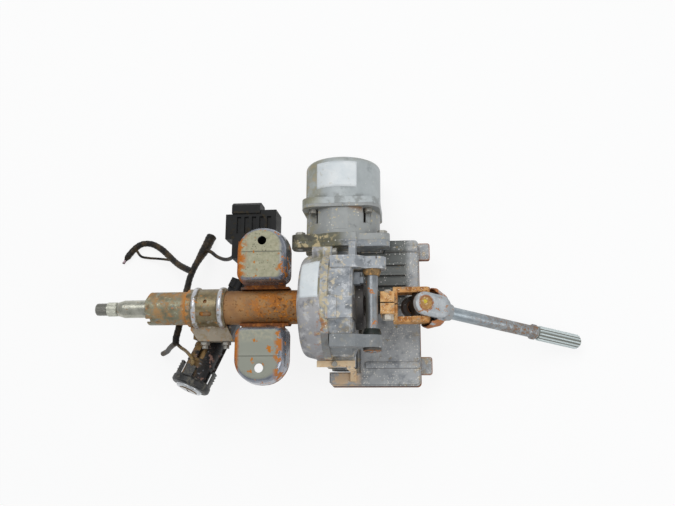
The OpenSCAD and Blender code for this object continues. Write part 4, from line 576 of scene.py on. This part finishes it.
# Nodes that wear each finish
FINISHES = {
    brown_rust_tube: ["lower_tube"], zinc_tube: ["upper_tube"], turned_steel: ["steering_shaft"],
    clamp_steel: ["lock_clamp"], cup_steel: ["cup_motor_side", "cup_key_side"],
    cast_aluminium: ["gear_housing"], drum_aluminium: ["sensor_housing"],
    motor_casting: ["motor_end_housing"], motor_can_paint: ["motor_can"], cover_casting: ["ecu_cover"],
    rusty_sheet: ["saddle_bracket", "ecu_base", "connector_holder"], rust_forging: ["input_yoke"],
    plated_forging: ["output_yoke"], rusty_cups: ["input_cups", "output_cups"],
    oily_steel: ["joint_cross", "output_shaft"],
    lower_steel: ["intermediate_shaft"], zinc_sleeve: ["pivot_sleeve", "adjuster_plug"],
    plated_screw: ["shear_bolts", "housing_screws", "motor_screws", "ecu_screws"], bolt_head: ["pinch_bolt"],
    rusty_washer: ["pivot_washer"], dusty_strap: ["ecu_strap"], lock_black: ["lock_housing"],
    black_moulding: ["ignition_switch", "connector_block"], dusty_moulding: ["antenna_ring"],
    worn_chrome: ["lock_trim", "lock_bolt"], barrel_brass: ["lock_barrel"], bush_rubber: ["pivot_bushes"],
    grey_plug: ["sensor_connector"],
    ground_steel: ["torsion_bar", "sensor_sleeve", "wheel_hub", "lock_collar", "worm", "coupling",
                   "shaft_bearings", "drive_bearings"],
    gear_nylon: ["wheel_rim"], copper_winding: ["armature"], ferrite: ["magnets"], phenolic: ["brush_holder"],
    coil_resin: ["sensor_coil"], board_green: ["circuit_board"],
    cloth_tape: ["harness_trunk", "antenna_lead", "lower_tail", "left_tail", "thin_wire", "connector_lead"],
}
for material, nodes in FINISHES.items():
    for node in nodes:
        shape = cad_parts[node].data
        shape.materials.clear()
        shape.materials.append(material)


# Tools for shapes

def grid_faces(rows, cols, wrap_rows=False, wrap_cols=True):
    """Quads between neighbouring points of a grid, closed round where it wraps."""
    i = np.arange(rows if wrap_rows else rows - 1)[:, None]
    k = np.arange(cols if wrap_cols else cols - 1)[None, :]
    below, beside = (i + 1) % rows, (k + 1) % cols
    quads = np.stack([i * cols + k, i * cols + beside, below * cols + beside, below * cols + k], -1)
    return quads.reshape(-1, 4)


def put(name, points, faces, material, body, uv=None, sharp=40.0):
    """Makes a piece from points in mm and faces, smooth up to an angle, and lets it ride on a body."""
    mesh = bpy.data.meshes.new(name)
    corners = (np.asarray(points).reshape(-1, 3) * MM).tolist()
    mesh.from_pydata(corners, [], [list(map(int, f)) for f in faces])
    if uv is not None:
        layer = mesh.uv_layers.new(name="laps")
        layer.uv.foreach_set("vector", np.asarray(uv, np.float32).ravel())
    mesh.shade_smooth()
    mesh.set_sharp_from_angle(angle=math.radians(sharp))
    mesh.materials.append(material)
    piece = bpy.data.objects.new(name, mesh)
    scene.collection.objects.link(piece)
    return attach(piece, body)


def smooth_line(points, steps):
    """Catmull-Rom line through given points, with steps between each pair."""
    p = np.asarray(points, float)
    q = np.vstack([p[:1], p, p[-1:]])
    t = np.linspace(0, 1, steps, endpoint=False)[None, :, None]
    a, b, c, d = (q[i:len(q) - 3 + i, None] for i in range(4))
    curve = (2 * a - 5 * b + 4 * c - d) * t ** 2 + (3 * b - a - 3 * c + d) * t ** 3
    line = 0.5 * (2 * b + (c - a) * t + curve)
    return np.vstack([line.reshape(-1, 3), p[-1:]])


def tube_points(line, radius):
    """Rings of points round a line: centre + radius x (u cos a + v sin a), u and v square to the line.

    Radius has one row for each ring and one column for each point round it.
    """
    way = np.gradient(line, axis=0)
    way /= np.linalg.norm(way, axis=1, keepdims=True)
    u = np.cross(way, (0.1, 0.2, 1.0))
    u /= np.linalg.norm(u, axis=1, keepdims=True)
    v = np.cross(way, u)
    a = np.linspace(0, TURN, radius.shape[1], endpoint=False)[None, :, None]
    return line[:, None] + radius[:, :, None] * (u[:, None] * np.cos(a) + v[:, None] * np.sin(a))


def tube_faces(rows, cols):
    """Quads round a tube of rings, and a fan from each end ring to its middle, one of the last two points."""
    k, count = np.arange(cols), rows * cols
    beside, end = (k + 1) % cols, count - cols
    first = np.stack([beside, k, np.full(cols, count)], -1)
    last = np.stack([k + end, beside + end, np.full(cols, count + 1)], -1)
    return grid_faces(rows, cols).tolist() + first.tolist() + last.tolist()


# Wire harness

LEAD_SIDES = 20
GOLDEN_ANGLE = 2.39996


def taped_lead(name, points, steps, radius, pitch=5.0, flare=(0.0, 20.0)):
    """A taped lead: radius x (1 + a low ramp over each turn of the tape + slow lumps).

    The tape climbs one pitch for each turn, so the ramp follows distance / pitch + angle / a whole turn.
    Steps is the count of rings from one point of the route to the next, and flare by how much the end
    grows or shrinks, as a smooth step over a stretch in mm.
    """
    line = smooth_line(points, steps)
    along = np.concatenate([[0], np.cumsum(np.linalg.norm(np.diff(line, axis=0), axis=1))])
    turn = np.arange(LEAD_SIDES)[None, :] / LEAD_SIDES
    laps = along[:, None] / pitch
    ramp = (laps + turn) % 1.0
    lumps = np.sin(along / 9.0 + 0.7)[:, None] * 0.02 + np.sin(along[:, None] / 3.7 + 4 * turn) * 0.015
    step = np.clip((along - along[-1] + flare[1]) / (0.7 * flare[1]), 0, 1)[:, None]
    widen = 1 + flare[0] * step ** 2 * (3 - 2 * step)
    size = radius * widen * (0.95 + 0.1 * ramp + lumps)
    k0, k1 = np.arange(LEAD_SIDES), np.arange(1, LEAD_SIDES + 1)
    row0, row1 = laps[:-1], laps[1:]
    corner = [(row0, k0), (row0, k1), (row1, k1), (row1, k0)]
    uv = np.stack([np.stack(np.broadcast_arrays(row, k / LEAD_SIDES), -1) for row, k in corner], 2)
    uv = np.vstack([uv.reshape(-1, 2), np.zeros((6 * LEAD_SIDES, 2))])
    rings = np.vstack([tube_points(line, size).reshape(-1, 3), line[:1], line[-1:]])
    piece = put(name + "_tape", rings, tube_faces(*size.shape), cloth_tape, "column", uv)
    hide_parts(name)


def cut_wires(name, end, way, count, spread, length, material, wire=0.75):
    """Short wire ends in a fan: wire i leaves at a golden angle round the end and leans out by spread.

    Each is a tube of equal rings that starts 3 mm inside the tape, with a flat face at both ends.
    """
    rows, cols = 9, 8
    way = np.asarray(way, float) / np.linalg.norm(way)
    side = np.cross(way, (0.3, 0.2, 1.0))
    side /= np.linalg.norm(side)
    other = np.cross(way, side)
    points, faces = [], []
    for i in range(count):
        a, out = i * GOLDEN_ANGLE, spread * math.sqrt(i / max(count - 1, 1))
        lean = side * math.cos(a) + other * math.sin(a)
        t = np.linspace(-3, length * (0.75 + 0.25 * math.sin(3 * i)), rows)[:, None]
        line = np.asarray(end, float) + way * t + lean * (out * (0.55 + 0.05 * t))
        points.append(tube_points(line, np.full((rows, cols), wire)).reshape(-1, 3))
        ends = np.array([np.arange(cols)[::-1], np.arange(cols) + (rows - 1) * cols])
        faces += [*(grid_faces(rows, cols) + i * rows * cols), *(ends + i * rows * cols)]
    piece = put(name, np.vstack(points), faces, material, "column")
    return piece


trunk_route = [(-241, -38, -64), (-240, -30, -61), (-237, -20, -59), (-235, -8, -59), (-234, 5, -61),
               (-233.5, 19, -67), (-233.5, 34, -75), (-233, 49, -83), (-230.5, 65, -93), (-227, 80, -104),
               (-223, 95, -114), (-219, 110, -121)]
antenna_route = [(-208.8, -65.5, -28.5), (-208, -59.5, -27.5), (-214, -53, -34), (-223, -47, -47),
                 (-232, -42, -56), (-240, -36, -62)]
lower_route = [(-240, -36, -62), (-249, -38, -75), (-258, -39.5, -92), (-267, -41.5, -110), (-277, -43, -124)]
left_route = [(-233, 57, -88), (-245, 63, -95), (-258, 71, -103), (-272, 83, -111), (-285, 94, -117),
              (-300, 102, -122), (-313, 103, -124), (-323, 98, -125), (-331, 89, -125), (-339, 77, -125)]
thin_route = [(-323, 97, -125.5), (-316, 87, -126.5), (-305, 84, -125), (-292, 82, -121), (-277, 79, -114),
              (-262, 75, -106)]
plug_route = [(-225.5, 88, -109), (-215, 86, -104), (-203, 77, -94), (-190, 70, -80), (-178, 67, -64),
              (-165, 68, -42.4)]

trunk_ends = cut_wires("trunk_cut_ends", trunk_route[-1], (4, 15, -4), 7, 4.4, 3.0, dark_insulation)
left_ends = cut_wires("left_cut_ends", (-335, 83, -125), (-8, -12, 0), 4, 1.6, 9.0, wire_insulation, wire=1.2)
lower_ends = cut_wires("lower_cut_ends", lower_route[-1], (-12, -2, -6), 5, 1.7, 1.5, dark_insulation)
taped_lead("antenna_lead", antenna_route, 10, 2.0)
taped_lead("harness_trunk", trunk_route, 13, 4.0, pitch=7.0, flare=(0.62, 52.0))
taped_lead("lower_tail", lower_route, 14, 3.2, pitch=6.0)
taped_lead("left_tail", left_route, 14, 4.1, pitch=6.0, flare=(-0.62, 11.0))
taped_lead("thin_wire", thin_route, 11, 1.6)
taped_lead("connector_lead", plug_route, 16, 2.3)


# Wheel end of the steering shaft

def ridged_sleeve(name, x0, x1, rows, cols, radius):
    """A sleeve on the column's axis whose radius is a function of station and angle, closed at both ends."""
    x = np.linspace(x0, x1, rows)[:, None]
    a = np.linspace(0, TURN, cols, endpoint=False)[None, :]
    r = radius(x, a)
    points = np.stack([np.broadcast_to(x, r.shape), r * np.sin(a), AXIS_Z + r * np.cos(a)], -1)
    points = np.vstack([points.reshape(-1, 3), [(x0, 0, AXIS_Z), (x1, 0, AXIS_Z)]])
    faces = [face[::-1] for face in tube_faces(rows, cols)]
    put(name, points, faces, turned_steel, "steering", sharp=25)


THREAD_TIP, THREAD_PITCH, THREAD_CORE, THREAD_DEPTH = -325.6, 1.5, 6.75, 0.55
SERRATIONS, SERRATION_CORE, SERRATION_DEPTH = 36, 7.75, 0.5


def zigzag(t):
    """A ramp up and down between 0 and 1 over each unit of t."""
    return 1 - np.abs(2 * (t % 1.0) - 1)


def thread_radius(x, a):
    """Radius of the thread: a zigzag that climbs one pitch each turn and grows over the first 2 mm."""
    grown = np.clip((x - THREAD_TIP) / 2, 0.2, 1)
    return THREAD_CORE + THREAD_DEPTH * zigzag(x / THREAD_PITCH + a / TURN) * grown


def serration_radius(x, a):
    """Radius of the wheel seat: a zigzag for each ridge round it, the same at every station."""
    return SERRATION_CORE + SERRATION_DEPTH * zigzag(SERRATIONS * a / TURN) + 0 * x


ridged_sleeve("wheel_thread", -325.2, -312.6, 80, 40, thread_radius)
ridged_sleeve("wheel_serrations", -311.5, -301.2, 12, 4 * SERRATIONS, serration_radius)


# Mount cups

CUP_X, CUP_Y, CUP_BASE = -123.5, 24.0, -16.0
CUP_W, CUP_D, CUP_H, SHEET = 60.0, 65.0, 24.0, 2.4
HOLE_Y, HOLE_R, DIMPLE, DIMPLE_WIDTH = 71.5, 5.0, 0.7, 1.6
CREASE_Y, CREASE_DROP, CREASE_WIDTH = 59.0, 0.8, 2.5
# Corner radii at the foot, and how far the face stays back from it: wheel side, rack side, near, far
NEAR_R, FAR_R = 10.0, 28.0
FACE_BACK = np.array((5.5, 9.5, 7.0, 7.5))
ROUND_POINTS, SIDE_POINTS, FACE_RINGS = 16, 12, 15
RING_POINTS = 4 * (ROUND_POINTS + SIDE_POINTS)


def cup_ring(back):
    """Outline of a cup, straight next to the column and arched on the far side, each side moved in by back.

    Corner arcs and straight sides have a fixed count of points, so rings of two sizes match point by point.
    """
    wheel, rack, near, far = back
    x0, x1, y0, y1 = wheel - CUP_W / 2, CUP_W / 2 - rack, near, CUP_D - far
    small, large = max(NEAR_R - 0.2 * near, 2), max(FAR_R - 0.8 * far, 4)
    corners = [(x0 + small, y0 + small, small, 180), (x1 - small, y0 + small, small, 270),
               (x1 - large, y1 - large, large, 0), (x0 + large, y1 - large, large, 90)]
    arcs = [np.stack([cx + r * np.cos(a), cy + r * np.sin(a)], -1) for cx, cy, r, start in corners
            for a in [np.radians(start + np.linspace(0, 90, ROUND_POINTS))]]
    sides = [arcs[i][-1] + (arcs[(i + 1) % 4][0] - arcs[i][-1]) * t for i in range(4)
             for t in [np.linspace(0, 1, SIDE_POINTS + 2)[1:-1, None]]]
    return np.vstack([points for pair in zip(arcs, sides) for points in pair])


def cup_skin(shift):
    """Rings of one side of the sheet: up the steep wall, round the edge, over the face to the hole.

    A wall ring moves in by a share of the face's own set-back and rises by a share of the height: the
    share goes 0 to 0.15 up the wall, then 0.15 + 0.85 (1 - cos) over a rise of 0.55 + 0.45 sin. The face
    drops a little across a crease, dimples round the hole, and its rings turn from the outline into the
    circle of the hole. Shift moves the skin inwards, for the lower side of the sheet.
    """
    turn = np.radians(np.linspace(0, 90, 10))
    share = np.concatenate([[0, 0.04, 0.1], 0.15 + 0.85 * (1 - np.cos(turn))])
    rise = np.concatenate([[0, 0.2, 0.4], 0.55 + 0.45 * np.sin(turn)]) * (CUP_H - shift)
    rings = [np.column_stack([cup_ring(shift * (1 - 0.4 * s) + s * FACE_BACK), np.full(RING_POINTS, z)])
             for s, z in zip(share, rise)]
    edge = rings[-1][:, :2]
    hole = np.array((0.0, HOLE_Y - CUP_Y))
    out = edge - hole
    circle = hole + HOLE_R * out / np.linalg.norm(out, axis=1, keepdims=True)
    inward = np.linspace(0.07, 1, FACE_RINGS)[:, None]
    flat = edge * (1 - inward[..., None]) + circle * inward[..., None]
    ramp = np.clip((CREASE_Y - flat[..., 1] - CUP_Y) / CREASE_WIDTH, 0, 1)
    rim = np.linalg.norm(flat - hole, axis=2) - HOLE_R
    drop = CREASE_DROP * ramp ** 2 * (3 - 2 * ramp) + DIMPLE * np.exp(-(rim / DIMPLE_WIDTH) ** 2)
    face = np.dstack([flat, CUP_H - shift - inward ** 0.3 * drop])
    return np.concatenate([rings, face])


def pressed_cup(name, side):
    """A cup of sheet steel: its upper skin, the lip of the hole, its lower skin, and the lip of the foot."""
    skin = np.concatenate([cup_skin(0.0), cup_skin(SHEET)[::-1]])
    points = skin + (CUP_X, CUP_Y, CUP_BASE)
    points[..., 1] *= side
    faces = grid_faces(*skin.shape[:2], wrap_rows=True)
    faces = faces if side > 0 else faces[:, ::-1]
    piece = put(name + "_pressing", points, faces, cup_steel, "column", sharp=50)
    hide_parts(name)


pressed_cup("cup_motor_side", 1)
pressed_cup("cup_key_side", -1)


# Paper labels on the motor and on the drum

# The can's axis and the radius of its label, then the drum's corner arc and the ramp behind it
PAPER = 0.2
CAN_X, CAN_Z, CAN_R = -40.0, -82.0, 46.68
CORNER_X, CORNER_AT, CORNER_R = -70.5, 49.0, 9.0
CONE_X, CONE_R, CONE_RISE, CONE_LENGTH, RIM_R = -73.3, 57.6, 3.4, 13.3, 61.0


def on_motor_can():
    """Grid on the motor can: (x, z) = its axis + R (sin a, cos a) over a span of angle and of y."""
    a, y = np.meshgrid(np.radians(np.linspace(-38, 26, 25)), np.linspace(146.5, 178.8, 9))
    return np.stack([CAN_X + CAN_R * np.sin(a), y, CAN_Z + CAN_R * np.cos(a)], -1)


def on_drum():
    """Grid on the drum, whose radius is an arc over its rounded corner, then a ramp up to its rim."""
    a, x = np.meshgrid(np.radians(np.linspace(1, 46, 21)), np.linspace(-76.5, -56, 17))
    corner = CORNER_AT + np.sqrt(CORNER_R ** 2 - np.clip(CORNER_X - x, 0, CORNER_R) ** 2)
    cone = np.clip(CONE_R + (x - CONE_X) * CONE_RISE / CONE_LENGTH, 0, RIM_R)
    r = np.where(x < CONE_X, corner, cone) + PAPER
    return np.stack([x, r * np.sin(a), AXIS_Z + r * np.cos(a)], -1)


for name, points in (("motor_label", on_motor_can()), ("drum_label", on_drum())):
    piece = put(name, points, grid_faces(*points.shape[:2], wrap_cols=False), label_paper, "column")
    thick = piece.modifiers.new("paper", "SOLIDIFY")
    thick.thickness = PAPER * MM
    thick.offset = 0.0


# Paint mark on the upper needle cup of the joint

# Height of the cup over the joint, and the dab's size and place on it
CUP_TOP, DAB_R, DAB_RISE = 19.7, 2.2, 0.25
DAB_ALONG, DAB_SIDE = -1.4, 1.6


def paint_dab():
    """A low blob on the cup: rise x (1 - t^2) over rings of radius x t x (1 + waves of three and five)."""
    rows, cols = 7, 28
    t = np.linspace(0.02, 1, rows)[:, None]
    a = np.linspace(0, TURN, cols, endpoint=False)[None, :]
    r = DAB_R * t * (1 + 0.14 * np.sin(3 * a + 0.6) + 0.08 * np.sin(5 * a))
    axes = np.array((SHAFT_WAY, SHAFT_SIDE, SHAFT_TOP))
    local = np.stack([r * np.cos(a), r * np.sin(a), 0.05 + DAB_RISE * (1 - t ** 2) + 0 * a], -1)
    points = JOINT + (local + (DAB_ALONG, DAB_SIDE, CUP_TOP)) @ axes
    faces = grid_faces(rows, cols).tolist() + [list(range(cols))[::-1]]
    put("joint_paint_mark", points, faces, yellow_paint, "lower_shaft")


paint_dab()


# Foam strips that close the gaps between the castings and the control unit

SEAL_LOW, SEAL_HIGH = -79.0, -71.5


def foam_strip(name, outline):
    """A closed upright prism over an outline that runs to the left round its inside."""
    count = len(outline)
    points = np.vstack([np.column_stack([outline, np.full(count, z)]) for z in (SEAL_LOW, SEAL_HIGH)])
    ends = [list(range(count))[::-1], list(range(count, 2 * count))]
    piece = put(name, points, grid_faces(2, count).tolist() + ends, foam_seal, "column", sharp=30)


gear_edge = [(-27, -70.9), (-19.5, -70.9), (-19.5, -42), (-22, -42), (-22, -67.5), (-27, -67.5)]
foam_strip("gear_side_seal", gear_edge)
motor_edge = [(-17, 72.1), (9.4, 72.1), (9.4, 78.5), (6.8, 78.5), (6.8, 73.8), (-17, 73.8)]
foam_strip("motor_side_seal", motor_edge)


# Plain pale floor and soft studio light

FLOOR_GAP, FLOOR_REACH, FLOOR_WHITE = 0.0005, 6, 0.85
LAMP_AIM = Vector((-0.03, 0.0, -0.04))


def pale_floor():
    """Matt white floor under the lowest point, mixed towards white where it is seen, with its shadow kept."""
    z = cad_box[0][2] - FLOOR_GAP
    mesh = bpy.data.meshes.new("floor")
    corners = [(FLOOR_REACH * x, FLOOR_REACH * y, z) for x, y in ((-1, -1), (1, -1), (1, 1), (-1, 1))]
    mesh.from_pydata(corners, [], [(0, 1, 2, 3)])
    material, tree = bare_material("matt_white_floor")
    path = add(tree, "LightPath")
    seen = calc(tree, "ADD", path.outputs["Is Camera Ray"], path.outputs["Is Glossy Ray"])
    through = calc(tree, "ADD", seen, path.outputs["Is Transmission Ray"], use_clamp=True)
    share = calc(tree, "MULTIPLY", through, FLOOR_WHITE)
    matt = add(tree, "BsdfDiffuse", {"Color": linear("#f2f2f2")})
    white = add(tree, "Emission", {"Color": (1.0, 1.0, 1.0, 1.0), "Strength": 1.0})
    both = add(tree, "MixShader", {0: share, 1: matt, 2: white})
    add(tree, "OutputMaterial", {"Surface": both})
    mesh.materials.append(material)
    floor = bpy.data.objects.new("floor", mesh)
    scene.collection.objects.link(floor)


def soft_lamp(name, at, power, size):
    """A square soft box that looks at the middle of the column."""
    lamp = bpy.data.lights.new(name, "AREA")
    lamp.energy, lamp.size = power, size
    box = bpy.data.objects.new(name, lamp)
    place = Vector(at)
    turn = (place - LAMP_AIM).to_track_quat("Z", "Y")
    box.matrix_world = Matrix.Translation(place) @ turn.to_matrix().to_4x4()
    scene.collection.objects.link(box)


pale_floor()
soft_lamp("overhead_box", (-0.35, 0.75, 1.5), 11.5, 1.1)
soft_lamp("side_box", (1.3, -0.5, 1.0), 7.0, 0.9)
world = bpy.data.worlds.new("studio")
world.use_nodes = True
sky = world.node_tree
sky.nodes.clear()
air = add(sky, "Background", {"Color": (0.96, 0.98, 1.0, 1.0), "Strength": 0.52})
add(sky, "OutputWorld", {"Surface": air})
scene.world = world
